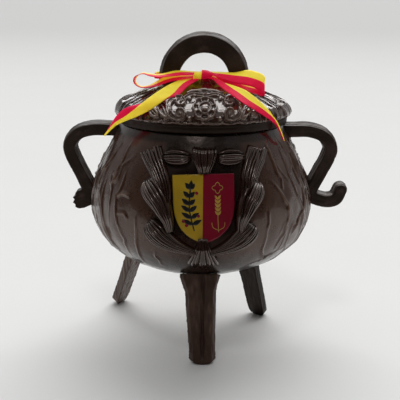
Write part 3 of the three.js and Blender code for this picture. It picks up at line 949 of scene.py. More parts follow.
        # Painted shade: the colour is darkened round the plaque inside the wreath, at the neck under the lid,
        # towards the bottom and over the whole closing bottom, through negative relief values.
        inside = 1 - smooth_step(np.abs(radius * np.sin(turn) - 0.8), 15, 21)
        inside = inside * (np.abs(turn) < 1) * smooth_step(height, 60, 68)
        low = smooth_step(height, 103, 106.5) + 0.85 * smooth_step(-height, -64, -48)
        relief = relief - np.maximum(low, 0.85 * inside)
        note_relief(piece, np.append(relief, np.full(len(closing) * len(turn) + 2, -1.0)))
        hand_over(piece, "pot")


# ---------------------------------------------------------------- wreath


class Tip(Enum):
    """How a sheaf of reeds ends."""

    BULB = "rounds over and dives into the belly"
    CUT = "splays and is cut off"
    SCALLOP = "each reed rounds over by itself"
    TAPER = "narrows again"


@dataclass(frozen=True)
class Sheaf:
    """A bundle of reeds on the belly, as (x, z) seen from the front."""

    spine: tuple[Pair, ...]
    widths: tuple[float, ...]
    height: float
    reeds: int
    end: Tip
    start_lift: float = 0.6

    def lift(self, t: Array) -> Array:
        """Share of the full height along the sheaf."""
        rise = self.start_lift + (1 - self.start_lift) * smooth_step(t, 0, 0.45)
        if self.end is Tip.BULB:
            return rise * np.sqrt(np.clip(1 - np.clip((t - 0.66) / 0.345, 0, 1) ** 2, 0, 1))
        if self.end is Tip.TAPER:
            return np.sqrt(np.clip(1 - (2 * t - 1) ** 4, 0.1, 1))
        if self.end is Tip.SCALLOP:
            return rise * np.sqrt(np.clip(1 - np.clip((t - 0.84) / 0.17, 0, 1) ** 2, 0.02, 1))
        return rise * (1 - 0.22 * smooth_step(t, 0.8, 1.0))

    def half_width(self, t: Array) -> Array:
        """Half of the sheaf's width along it."""
        stops = spline([(w, 0.0) for w in self.widths], 60)[:, 0]
        half = np.interp(t, np.linspace(0, 1, 60), stops) / 2
        if self.end is Tip.BULB:
            half = half * np.clip(1 - np.clip((t - 0.72) / 0.3, 0, 1) ** 2.4, 0.05, 1) ** 0.5
        return half

    def frames(self, t: Array) -> tuple[Array, Array]:
        """The middle line and the unit direction across it at places t, as (x, z)."""
        fine = spline(self.spine, 200)
        at = np.linspace(0, 1, 200)
        middle, ahead = (
            np.stack([np.interp(t, at, values[:, n]) for n in (0, 1)], 1)
            for values in (fine, np.gradient(fine, axis=0))
        )
        ahead = unit(ahead)
        return middle, np.stack([ahead[:, 1], -ahead[:, 0]], 1)


@dataclass
class Wreath(Assembly):
    """Ten sheaves of reeds round the plaque."""

    belly: Belly
    tree: StrandTree
    samples: int = 34
    seed: int = 5
    core_share: float = 0.66

    sheaves: tuple[Sheaf, ...] = (
        Sheaf(((-15.6, 80.5), (-16.2, 87), (-18.6, 93.8), (-22.6, 102)), (4.2, 6, 7.4, 10), 4.6, 7, Tip.CUT),
        Sheaf(((19.6, 81.5), (20.2, 88), (21.8, 95), (25, 103)), (4.4, 6, 7.8, 8.8), 4.6, 7, Tip.CUT),
        Sheaf(((-13.4, 68), (-15, 75), (-18.6, 82.2), (-24.2, 89)), (3.2, 5.2, 8.8, 10.8), 6.3, 6, Tip.BULB),
        Sheaf(((17.2, 68), (18.2, 75), (20.8, 81.8), (24.8, 88.6)), (3.2, 5.2, 8.4, 10), 6.3, 6, Tip.BULB),
        Sheaf(((-1.8, 57.4), (-8.4, 60.2), (-15.6, 63.8), (-23.4, 71)), (3, 4.8, 8.2, 10.6), 6.3, 7, Tip.BULB),
        Sheaf(((4.4, 57.6), (10.4, 60.2), (16.6, 63.6), (23.8, 69.8)), (3, 4.8, 8, 10), 6.3, 7, Tip.BULB),
        Sheaf(((-4.6, 99.7), (-8.4, 99.6), (-13, 99.5), (-16.8, 99.2)), (3.2, 6.1, 6.1, 3.2), 3.4, 4, Tip.TAPER),
        Sheaf(((6.8, 99.8), (10, 99.8), (14.6, 99.8), (18.6, 99.6)), (3.2, 6.5, 6.5, 3.2), 3.6, 4, Tip.TAPER),
        Sheaf(
            ((1.2, 93), (1.1, 96.4), (1.1, 100), (1.2, 103.7)), (5.4, 7.6, 10.6, 11), 4.9, 8, Tip.SCALLOP, 0.45
        ),
        Sheaf(((0.9, 64.5), (0.9, 60), (0.9, 56.2), (1, 51)), (4, 7, 10, 15), 4.4, 8, Tip.CUT, 0.3),
    )

    def reed_lines(self, sheaf: Sheaf, rng: np.random.Generator) -> list[Strand]:
        """One strand for each of a sheaf's reeds, with small differences drawn from rng."""
        strands = []
        for k in range(sheaf.reeds):
            reach = 1 + (rng.uniform(-0.10, 0.04) if sheaf.end is Tip.CUT else 0)
            stand = rng.uniform(-0.3, 0.35)
            t = np.linspace(0, 1, self.samples)
            middle, across = sheaf.frames(np.clip(t * reach, 0, 1))
            place = (2 * k + 1) / sheaf.reeds - 1 + rng.uniform(-0.05, 0.05)
            half = sheaf.half_width(t)
            radius = half / sheaf.reeds * rng.uniform(0.98, 1.2)
            radius = np.maximum(radius, 0.24) * (1 - 0.25 * smooth_step(t, 0.93, 1.0))
            x, z = (middle + across * (half * place * 0.93)[:, None]).T
            rounded = math.sqrt(max(0.0, 1 - (0.86 * place) ** 2))
            lift = (sheaf.height + stand) * sheaf.lift(t) * rounded - radius * 0.5
            if sheaf.end is Tip.CUT:
                lift = lift + 0.9 * smooth_step(t, 0.75, 1.0) * rng.uniform(-0.4, 1.0)
            strands.append(Strand(self.belly.at(x, z, lift), radius))
        return strands

    def core(self, skin: Skin, sheaf: Sheaf) -> None:
        """Adds the pillow that fills the sheaf under its reeds."""
        t = np.linspace(0.0, 0.985, 30)
        side, rise = arc(0, 180, 17).T
        rings = []
        for middle, across, half, lift in zip(*sheaf.frames(t), sheaf.half_width(t), sheaf.lift(t)):
            x, z = (middle + across * (half * side)[:, None]).T
            upper = self.belly.at(x, z, sheaf.height * lift * self.core_share * rise - 0.3)
            lower = self.belly.at(x[::-1][1:-1], z[::-1][1:-1], -3.0)
            rings.append(np.vstack([upper, lower]))
        skin.loft(np.array(rings))

    def make(self) -> None:
        """Builds the reeds and the pillows under them."""
        rng = np.random.default_rng(self.seed)
        strands = [s for sheaf in self.sheaves for s in self.reed_lines(sheaf, rng)]
        reeds = self.tree.grow(
            "wreath_reeds", strands, self.bench, Sides=14, Thickness=1.0, Waver=0.22 * MM,
            Waver_Pitch=260.0, Seed=3.0, Material=self.finish,
        )
        skin = Skin()
        for sheaf in self.sheaves:
            self.core(skin, sheaf)
        hand_over(reeds, "pot")
        hand_over(skin.build("wreath_pillows", self.bench, self.finish), "pot")


# ---------------------------------------------------------------- cast bars: handles and ring


@dataclass
class CastBar(Assembly):
    """A flat bar of nearly square section, cast in a mould, so that it narrows to the front."""

    depth: float = 8.0
    voxel: float = 0.37
    rounds: int = 2
    line_depth: float = 0.22
    draft: float = 0.9
    seed: int = 21

    def outline(self, points: Sequence[Pair], width: float, round_end: bool = False) -> Array:
        """The closed outline, as (x, z), of an even bar along points, its far end round or cut."""
        line = spline(points, 60)
        normal = leftward(line) * width / 2
        cap = np.zeros((0, 2))
        if round_end:
            ahead = np.array([normal[-1][1], -normal[-1][0]])
            cosine, sine = arc(90, -90, 13)[1:-1].T[..., None]
            cap = line[-1] + normal[-1] * sine + ahead * cosine
        return np.vstack([line + normal, cap, (line - normal)[::-1]])

    def slab(self, skin: Skin, near: Array, far: Array) -> None:
        """Adds the solid between the outline of the front and that of the back, in X and Z."""
        count = len(near)
        layers = ((near, -self.depth / 2), (far, self.depth / 2))
        points = np.vstack([np.insert(outline, 1, y, axis=1) for outline, y in layers])
        ring = np.arange(count)
        after = (ring + 1) % count
        sides = np.stack([ring, after, after + count, ring + count], 1)
        skin.add(points, [sides, ring[None, ::-1], ring[None] + count])

    def cast(self, skin: Skin, name: str, node: str, line: Array) -> None:
        """Casts the slabs as one piece, with lengthwise bark lines, lumps and chips.

        Args:
            skin: The slabs.
            name: The piece's name.
            node: The CAD node that it stands for.
            line: The bar's middle line, as (x, z) points.
        """
        piece = skin.build(name, self.bench, self.finish)
        recast(piece, self.voxel, self.rounds, self.finish)
        p = self.bench.read(piece)
        gaps = (p[:, None, 0] - line[None, :, 0]) ** 2 + (p[:, None, 2] - line[None, :, 1]) ** 2
        along = lengths(line)[gaps.argmin(1)]
        noise = Noise(self.seed)
        lines = noise(xyz(along, np.sqrt(gaps.min(1)), p[:, 1]), (9.0, 1.0, 1.0), 2)
        front = vertex_values(piece, "normal")[:, 1] ** 2
        chips = np.clip(noise(p + 30, 1.6) - 0.45, 0, 1)
        lumps = noise(p, 4.5, 2) * 0.08
        self.bench.push(piece, lines * self.line_depth * (1 - 0.7 * front) + lumps - chips * 0.3)
        hand_over(piece, node)


@dataclass
class Handles(CastBar):
    """Two side handles: the right one scrolls up at its end, the left one has lost its scroll."""

    width: float = 7.3
    left_reach: float = 0.3
    bar: tuple[Pair, ...] = (
        (37, 105), (46, 105.4), (53.5, 105.3), (60.2, 102.8), (63.9, 97.6),
        (63, 92.4), (59.3, 84.8), (56.3, 78.6), (53.2, 72),
    )
    scroll: tuple[Pair, ...] = ((49, 74.6), (57.5, 71.2), (63.3, 70), (67.6, 71.4), (69.7, 75.7))
    broken: tuple[Pair, ...] = (
        (49, 78.2), (56.5, 75.3), (60.2, 74.4), (61.6, 72.9), (60.9, 71.9), (62.8, 71), (61.9, 69.9),
        (62.9, 68.3), (61.5, 67.6), (61.7, 66.3), (59.9, 65.3), (57.3, 65.7), (53.5, 67.4), (49, 70.6),
    )

    def to_left(self, shape: Array) -> Array:
        """A shape of the right side on the left side."""
        return shape * (-1, 1) - (self.left_reach, 0)

    def make(self) -> None:
        """Builds both handles as one piece."""
        skin = Skin()
        widths = (self.width - 2 * self.draft, self.width)
        near, far = (self.outline(self.bar, wide) for wide in widths)
        near = near - (0, self.draft / 2)
        self.slab(skin, near, far)
        self.slab(skin, self.to_left(near), self.to_left(far))
        self.slab(skin, *(self.outline(self.scroll, wide, True) for wide in widths))
        stub = self.to_left(np.array(self.broken))
        self.slab(skin, stub, stub)
        right = np.vstack([spline(self.bar, 120), spline(self.scroll, 60)])
        self.cast(skin, "side_handles", "pot", np.vstack([right, self.to_left(right)]))


@dataclass
class Ring(CastBar):
    """The half ring on the lid."""

    x: float = 1.5
    z: float = 130.4
    outer: float = 22.1
    inner: float = 12.2
    foot: float = 124.0

    def make(self) -> None:
        """Builds the ring, whose feet reach down into the lid."""
        half = arc(0, 180, 80)
        low = np.array([0, self.foot - self.z])
        outlines = []
        for reach in (self.outer - 1.9 * self.draft, self.outer):
            outer = [(reach, 0) + low, *(half * reach), (-reach, 0) + low]
            inner = [(-self.inner, 0) + low, *(half[::-1] * self.inner), (self.inner, 0) + low]
            outlines.append(np.array(outer + inner) + (self.x, self.z))
        skin = Skin()
        self.slab(skin, *outlines)
        self.cast(skin, "lid_ring", "lid", half * (self.outer + self.inner) / 2 + (self.x, self.z))


# ---------------------------------------------------------------- lid


@dataclass(frozen=True)
class Stroke:
    """A raised line of ornament: a round cord, or two ridges with a channel between them."""

    points: Array
    width: float
    height: float
    twin: bool = False

    def relief(self, x: Array, y: Array) -> Array:
        """Its height in millimetres at places across and up."""
        gap = np.full(x.shape, 99.0)
        for a, b in zip(self.points, self.points[1:]):
            gap = np.minimum(gap, gap_to(x - a[0], y - a[1], *(b - a)))
        if not self.twin:
            return self.height * np.sqrt(np.clip(1 - (gap / self.width) ** 2, 0, 1))
        base = 0.35 * (1 - smooth_step(gap, self.width, self.width + 0.8))
        return self.height * np.maximum(hump(gap - self.width, 0.42), base)


@dataclass
class Lid(Assembly):
    """The domed lid: straw-like fibres round a smooth panel of scrollwork."""

    # The darker finish that paints the rim's band and underside in shade.
    plain: Material
    tree: StrandTree
    x: float = 0.9
    bottom: float = 109.5
    radius: float = 42.0
    rim_top: float = 113.8
    scroll_foot: float = 115.2
    shoulder: float = 38.0
    top: float = 130.0
    slope: float = 0.55
    bend: float = 30.0
    lip: float = 0.5
    band_inset: float = 0.9
    columns: int = 620
    rows: int = 124
    panel_left: float = -0.68
    panel_right: float = 0.6
    seed: int = 31
    view: float = math.radians(13.54)
    rosette: Pair = (0.9, 6.2)
    scroll_at: Pair = (11.6, 6.0)
    fibres: int = 420

    # Leaves right of the rosette, mirrored on its left: place across and up, length and lean.
    leaves: tuple[tuple[float, ...], ...] = (
        (18.6, 5.2, 9.0, 0.55), (22.8, 2.9, 5.0, 0.95), (14.8, 11.6, 4.6, 0.8),
    )

    def height_at(self, r: Array) -> Array:
        """Height of the plain lid at radii r."""
        dome = self.top - self.slope * (np.hypot(self.bend, np.minimum(r, self.shoulder)) - self.bend)
        out = np.clip((r - self.shoulder) / (self.radius - self.shoulder), 0, 1)
        return self.rim_top + (dome - self.rim_top) * np.sqrt(1 - out**2)

    def c_scroll(self) -> Array:
        """A C-shaped scroll with a curl at each end, right of the rosette."""
        reach, curl = 4.7, 1.75
        shrink = np.linspace(0.6, curl, 22)[:, None]
        upper = arc(100, 100, 1) * (reach - curl) + arc(430, 100, 22) * shrink
        lower = (upper * (1, -1))[::-1]
        return np.vstack([upper, arc(100, -100, 26)[1:-1] * reach, lower]) + self.scroll_at

    def leaf(self, x: float, up: float, length: float, turn: float) -> list[Stroke]:
        """The outline and the midrib of a leaf at (x, up), turned to the left by radians."""
        t = np.linspace(0, 1, 12)
        side = np.stack([0.26 * length * np.sin(math.pi * t) ** 0.8, length * (t - 0.5)], 1)
        rib = np.stack([0 * t, length * 0.8 * (t - 0.5)], 1)
        return [
            Stroke(spun(mirrored(side), turn) + (x, up), 0.62, 1.2),
            Stroke(spun(rib, turn) + (x, up), 0.5, 1.0),
        ]

    def strokes(self) -> list[Stroke]:
        """All the scrollwork on the panel, as seen from the front and measured from its foot."""
        middle = self.rosette[0]
        scroll = self.c_scroll()
        crest = spline([(-10, 10.4), (-5.6, 13), (0, 12.5), (5.6, 13), (10, 10.4)], 30)
        brow = spline([(-8, 14.4), (-3, 16), (3, 16), (8, 14.4)], 16)
        x = np.linspace(-26, 24, 90)
        foot = self.rim_top - self.scroll_foot + 0.45
        edge = np.stack([x, foot + 0.25 * np.sin(0.9 * x) + 0.15 * np.sin(2.3 * x + 1)], 1)
        found = [
            Stroke(scroll + (middle, 0), 0.85, 1.6, twin=True),
            Stroke(scroll * (-1, 1) + (middle, 0), 0.85, 1.6, twin=True),
            Stroke(crest + (middle, 0), 0.65, 1.2, twin=True),
            Stroke(brow + (middle, 0), 0.8, 1.1),
            Stroke(edge, 0.6, 0.8),
        ]
        for side in (-1, 1):
            for x, up, length, lean in self.leaves:
                found += self.leaf(middle + side * x, up, length, -side * lean)
            for x, up in ((6.7, 1.1), (6.9, 10.9), (16.9, 1.0)):
                bead = np.array([(middle + side * x, up), (middle + side * x, up + 0.1)])
                found.append(Stroke(bead, 0.95, 1.3))
        return found

    def rosette_relief(self, x: Array, up: Array) -> Array:
        """Height of the eight-petalled rosette at places across and up."""
        dx, dy = x - self.rosette[0], up - self.rosette[1]
        reach, turn = np.hypot(dx, dy), np.arctan2(dy, dx)
        edge = 4.6 + 0.6 * np.abs(np.cos(4 * turn))
        spokes = 1.1 * np.abs(np.sin(4 * turn)) ** 8 * ((reach > 2.7) & (reach < edge))
        pearl = 2.0 * np.sqrt(np.clip(1 - (reach / 1.9) ** 2, 0, 1))
        petals, ring = 1.6 * hump(reach - edge, 0.5), 1.3 * hump(reach - 2.7, 0.42)
        return np.maximum.reduce([petals, spokes, ring, pearl])

    def panel_mask(self, turn: Array, r: Array) -> Array:
        """1 on the smooth panel at the front and 0 off it."""
        inside = smooth_step(turn, self.panel_left - 0.04, self.panel_left + 0.03)
        inside = inside * (1 - smooth_step(turn, self.panel_right - 0.03, self.panel_right + 0.04))
        return inside * smooth_step(r, 11, 15)

    def top_relief(self, turn: Array, r: Array, z: Array) -> Array:
        """Height of fibres and ornament over the lid's top.

        Args:
            turn: Angles, 0 at the front.
            r: Radii.
            z: Heights of the plain top.

        Returns:
            Millimetres.
        """
        noise = Noise(self.seed)
        x = r * np.sin(turn)
        up = (z - self.scroll_foot) * math.cos(self.view) + (self.radius - r) * math.sin(self.view)
        panel = self.panel_mask(turn, r)
        swirl = turn + 0.004 * r
        straw = 0.5 * noise(xyz(swirl * 22 + 40, r / 11), 1) + 0.34 * noise(xyz(swirl * 62 + 40, r / 7), 1, 2)
        straw = straw * smooth_step(r, 4, 16)
        wavy = 0.28 * noise(xyz(x, up), 2.6, 2)
        ornament = np.maximum.reduce([s.relief(x, up) for s in self.strokes()] + [self.rosette_relief(x, up)])
        lump = smooth_step(r, 4.5, 7.5) * (1 - smooth_step(r, 11, 14.5))
        lump = lump * (1 - smooth_step(np.abs(turn), 0.8, 1.1)) * (0.9 + 0.45 * noise(xyz(x, r), 1.6, 2))
        relief = panel * (ornament + wavy) + (1 - panel) * (straw + 0.25) + lump
        return relief * (1 - 0.6 * smooth_step(z, self.rim_top + 1.0, self.rim_top))

    def top_rows(self) -> tuple[Array, Array, Array]:
        """The plain top from its middle out.

        Returns:
            Radius and height of each row, and the direction straight out of it.
        """
        bow = np.linspace(0, math.pi / 2, 60)[1:]
        r = np.linspace(0.5, self.shoulder, 300)
        r = np.concatenate([r, self.shoulder + (self.radius - self.shoulder) * np.sin(bow)])
        z = self.height_at(r)
        along = lengths(np.stack([r, z], 1))
        start = float(np.interp(17, r, along))
        place = np.concatenate([np.linspace(0, start, 16)[:-1], np.linspace(start, along[-1], self.rows)])
        r, z = np.interp(place, along, r), np.interp(place, along, z)
        return r, z, unit(np.stack([-np.gradient(z), np.gradient(r)], 1))

    def dome(self, turn: Array) -> None:
        """Builds the top, with its relief, in columns at those angles."""
        r, z, out = self.top_rows()
        grid_turn, grid_r, grid_z = np.broadcast_arrays(turn, r[:, None], z[:, None])
        relief = self.top_relief(grid_turn, grid_r, grid_z)
        spread = self.lip + 0.35 * Noise(self.seed + 1)(xyz(turn * 30), 1, 2)
        spread = spread * smooth_step(grid_r, self.radius - 1.5, self.radius)
        skin = Skin()
        skin.loft(self.ring_points(turn, grid_r + out[:, :1] * relief + spread, grid_z + out[:, 1:] * relief))
        piece = skin.build("lid_dome", self.bench, self.finish)
        note_relief(piece, np.append(relief, (0.0, 0.0)))
        hand_over(piece, "lid")

    def rim(self, turn: Array) -> None:
        """Builds the lip's lower side, the plain band and the underside, in the darker finish that paints them
        in shade.
        """
        wide, band = self.radius, self.radius - self.band_inset
        lip, base = self.rim_top, self.bottom
        lows = [(wide - 2, lip - 0.15), (wide + 0.35, lip - 0.1), (wide + 0.3, lip - 0.35)]
        lows += [(wide + 0.1, lip - 0.6), (band + 0.5, lip - 0.75)]
        lows += [(band + 0.1, lip - 0.9), (band, lip - 1.1), (band, lip - 1.6), (band - 0.05, base + 2)]
        lows += [(band - 0.1, base + 0.7), (band - 0.3, base + 0.25), (band - 0.8, base), (band - 3, base)]
        lows += [(25, base), (8, base), (1, base)]
        wobble = 0.12 * Noise(self.seed + 2)(xyz(turn * 9), 1, 2)
        skin = Skin()
        skin.loft(np.array([self.ring_points(turn, q + wobble, z) for q, z in lows]))
        hand_over(skin.build("lid_rim", self.bench, self.plain), "lid")

    def ring_points(self, turn: Array, r: Array, z: Array | float) -> Array:
        """Points at angles, radii and heights about the lid's own middle."""
        return xyz(self.x + r * np.sin(turn), -r * np.cos(turn), z)

    def loose_fibres(self) -> list[Strand]:
        """Loose fibres that lie half sunk in the lid, none of them on the panel."""
        rng = np.random.default_rng(self.seed)
        t = np.linspace(0, 1, 12)
        taper = np.clip(4 * np.minimum(t, t[::-1]), 0.25, 1)
        found = []
        for _ in range(self.fibres):
            turn = rng.uniform(-math.pi, math.pi)
            start = rng.uniform(12, 34)
            end = min(start + rng.uniform(7, 20), self.radius + 0.2)
            if self.panel_left - 0.03 < turn < self.panel_right + 0.03:
                continue
            r = np.linspace(start, end, 12)
            a = turn + rng.normal(0, 0.035) * t + 0.02 * rng.normal()
            lift = 0.32 + rng.uniform(-0.15, 0.3)
            z = self.height_at(np.minimum(r, self.radius - 0.05)) + lift
            found.append(Strand(self.ring_points(a, r, z), rng.uniform(0.16, 0.34) * taper))
        return found

    def make(self) -> None:
        """Builds the dome, its loose fibres and the rim."""
        turn = spread_turns(self.columns, 2.3, 0.66, 0.8, 3000)
        self.dome(turn)
        self.rim(turn)
        loose = self.tree.grow(
            "lid_fibres", self.loose_fibres(), self.bench, Sides=6, Thickness=1.0, Waver=0.5 * MM,
            Waver_Pitch=210.0, Seed=8.0, Material=self.finish,
        )
        hand_over(loose, "lid")


# ---------------------------------------------------------------- feet


@dataclass
class Foot(Assembly):
    """A separately cast foot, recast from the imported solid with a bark-like skin."""

    name: str
    bark: float
    seed: int
    broad_face: bool = False
    middle: float = 1.7
    voxel: float = 0.33
    rounds: int = 1
    face_step: float = 1.5

    def make(self) -> None:
        """Builds the foot."""
        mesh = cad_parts[f"leg_{self.name}"].data.copy()
        turn_outwards(mesh, weld=1e-6)
        piece = place_object(f"foot_{self.name}", mesh)
        recast(piece, self.voxel, self.rounds, self.finish)
        if self.broad_face:
            self.square(piece)
        p = self.bench.read(piece)
        noise = Noise(self.seed)
        relief = noise(p, (1.1, 1.1, 9.0), 2) * self.bark + noise(p, 6.0, 2) * 0.14
        self.bench.push(piece, relief * smooth_step(p[:, 2], 0.4, 3.0))
        hand_over(piece, f"leg_{self.name}")

    def square(self, piece: Piece) -> None:
        """Gives the foot a flat broad face with a groove, and a squarer sole."""
        p = self.bench.read(piece)
        x, z = p[:, 0] - self.middle, p[:, 2]
        front = -vertex_values(piece, "normal")[:, 1]
        spread = np.interp(z, (0.2, 1.2, 2.6, 5, 24, 34), (1.38, 1.28, 1.12, 1.06, 1.12, 1.1))
        level = (z / self.face_step).astype(int)
        faces = np.full(level.max() + 1, np.inf)
        np.minimum.at(faces, level, p[:, 1])
        face = np.interp(z, (np.arange(len(faces)) + 0.5) * self.face_step, faces)
        pull = 0.8 * smooth_step(front, 0.2, 0.5) * (np.abs(x) > 2.2) * smooth_step(z, 3.0, 6.0)
        groove = hump(x, 0.6) * smooth_step(front, 0.0, 0.4) * smooth_step(z, 2.0, 5.0)
        p[:, 1] += (face - p[:, 1]) * pull + groove
        p[:, 0] = self.middle + x * spread
        self.bench.write(piece, p)


# ---------------------------------------------------------------- plaque


class Motif(Enum):
    """The inlays of the plaque, by their pieces' names."""

    SPRIG = "plaque_sprig"
    BERRIES = "plaque_berries"
    GILT = "plaque_gilt"


@dataclass
class Plaque(Assembly):
    """The two-colour shield, with thin raised inlays of a sprig, berries and gilt ornament."""

    belly: Belly
    inlays: dict[Motif, Material]
    x: float = 1.3
    top: float = 92.6
    width: float = 27.4
    height: float = 30.8
    straight: float = 0.42
    thick: float = 2.0
    turn: float = -0.035
    round_over: float = 0.55
    inlay: float = 0.12

    def outline(self, inset: float) -> Array:
        """The outline as (x, z), that far inside the edge, with the top edge at z = 0."""
        half = self.width / 2 - inset
        straight = self.height * self.straight
        tip = -self.height + inset
        a, b = np.array([-half, -straight]), np.array([-half, -straight - 9])
        c, d = np.array([-half * 0.66, tip + 1.6]), np.array([0, tip])
        t = np.linspace(0, 1, 40)[:, None]
        curve = (1 - t) ** 3 * a + 3 * (1 - t) ** 2 * t * b + 3 * (1 - t) * t**2 * c + t**3 * d
        side = np.stack([np.full(12, -half), np.linspace(-inset, -straight, 12)], 1)[:-1]
        left = np.vstack([side, curve])
        return np.vstack([left, (left * (-1, 1))[::-1][1:]])

    def to_bench(self, flat: Array, out: float) -> Array:
        """(x, z) places on the plaque to bench points, that far in front of the plaque's back."""
        belly = self.belly
        depth = belly.field_depth - (self.top - belly.field_at) * math.tan(belly.field_lean)
        spin = Matrix.Rotation(-belly.field_lean, 3, "X") @ Matrix.Rotation(self.turn, 3, "Y")
        return xyz(flat[:, 0], -out, flat[:, 1]) @ np.array(spin).T + (self.x, -depth, self.top)

    def plate(self, skin: Skin) -> None:
        """Adds the plate, with a soft rounded edge."""
        steps = [(0.0, 0.0), (0.0, self.thick - self.round_over)]
        for cosine, sine in arc(18, 90, 5):
            steps.append((self.round_over * (1 - cosine), self.thick - self.round_over * (1 - sine)))
        steps += [(inset, self.thick) for inset in (1.2, 2.5, 4.5, 7, 10, 12.6)]
        skin.loft(np.array([self.to_bench(self.outline(inset), out) for inset, out in steps]))

    def patch(self, skin: Skin, outline: Array, rise: float | None = None) -> None:
        """Adds a thin inlay with a sloped edge, raised by that much above the face."""
        rise = rise or self.inlay
        middle = outline.mean(0)
        layers = ((1.0, -0.05), (1.0, rise * 0.55), (0.93, rise), (0.5, rise * 1.1))
        rings = [self.to_bench(middle + (outline - middle) * k, self.thick + out) for k, out in layers]
        skin.loft(np.array(rings))

    def line(self, skin: Skin, points: Sequence[Pair], width: float) -> None:
        """Adds a thin raised line along points on the face."""
        p = spline(points, 4 * len(points))
        normal = leftward(p) * width / 2
        layers = ((-1, -0.05), (-0.7, self.inlay), (0.7, self.inlay), (1, -0.05))
        rings = [self.to_bench(p + normal * k, self.thick + out) for k, out in layers]
        skin.loft(np.array(rings).transpose(1, 0, 2))

    @staticmethod
    def blade(root: Pair, turn: float, length: float, width: float) -> Array:
        """The outline of a pointed leaf from its root, turned to the right by degrees."""
        t = np.linspace(0.02, 0.98, 12)
        side = np.stack([width / 2 * np.sin(math.pi * t**0.8) ** 0.9, length * t], 1)
        return spun(mirrored(side), -math.radians(turn)) + np.array(root)

    def sprig(self, skin: Skin) -> None:
        """Adds the dark sprig on the left half: a bowed stem with leaves on both sides."""
        stem = [(-4.6, -25.2), (-5.6, -21), (-6.4, -16.5), (-6.5, -12), (-5.8, -6.6)]
        self.line(skin, stem, 0.7)
        for k, root in enumerate(spline(stem, 7)[1:]):
            for side, share in ((-1, 1.0), (1, 0.86)):
                self.patch(skin, self.blade(root, side * (62 - 5 * k), (5.4 - 0.32 * k) * share, 2.1))
        self.patch(skin, self.blade(stem[-1], 8, 4.2, 1.9))

    def berries(self, skin: Skin) -> None:
        """Adds small round berries beside the sprig."""
        for at in ((-9.3, -20.8), (-8.0, -22.6), (-3.1, -8.4), (-2.6, -18.6)):
            self.patch(skin, arc(0, 330, 12) * 0.75 + at, 0.22)

    def gilt(self, skin: Skin) -> None:
        """Adds the gilt ornament on the right half: a star flower above an ear of wheat."""
        turn = np.radians(np.arange(0, 360, 22.5))[:, None]
        reach = 1.5 + 0.95 * np.abs(np.cos(2 * turn)) ** 1.5
        flower = arc(0, 337.5, 16) * reach + (6.2, -6.2)
        self.line(skin, [*flower, flower[0]], 0.3)
        self.line(skin, [(6.2, -26), (6.1, -20), (6.2, -11.4)], 0.36)
        for k in range(5):
            for side in (-1, 1):
                self.patch(skin, self.blade((6.2, -18.4 + 1.75 * k), side * 34, 2.4, 0.95))
        for side in (-1, 1):
            self.line(skin, [(6.2, -25.2), (6.2 + side * 2.4, -23.8), (6.2 + side * 2.9, -21.6)], 0.3)

    def make(self) -> None:
        """Builds the plate and its inlays."""
        pieces = [("plaque_plate", self.plate, self.finish)]
        for motif, draw in zip(Motif, (self.sprig, self.berries, self.gilt)):
            pieces.append((motif.value, draw, self.inlays[motif]))
        for name, draw, finish in pieces:
            skin = Skin()
            draw(skin)
            hand_over(skin.build(name, self.bench, finish), "shield", Slot.PLAQUE)


# ---------------------------------------------------------------- ribbon


Station = tuple[Point, Point, Point]


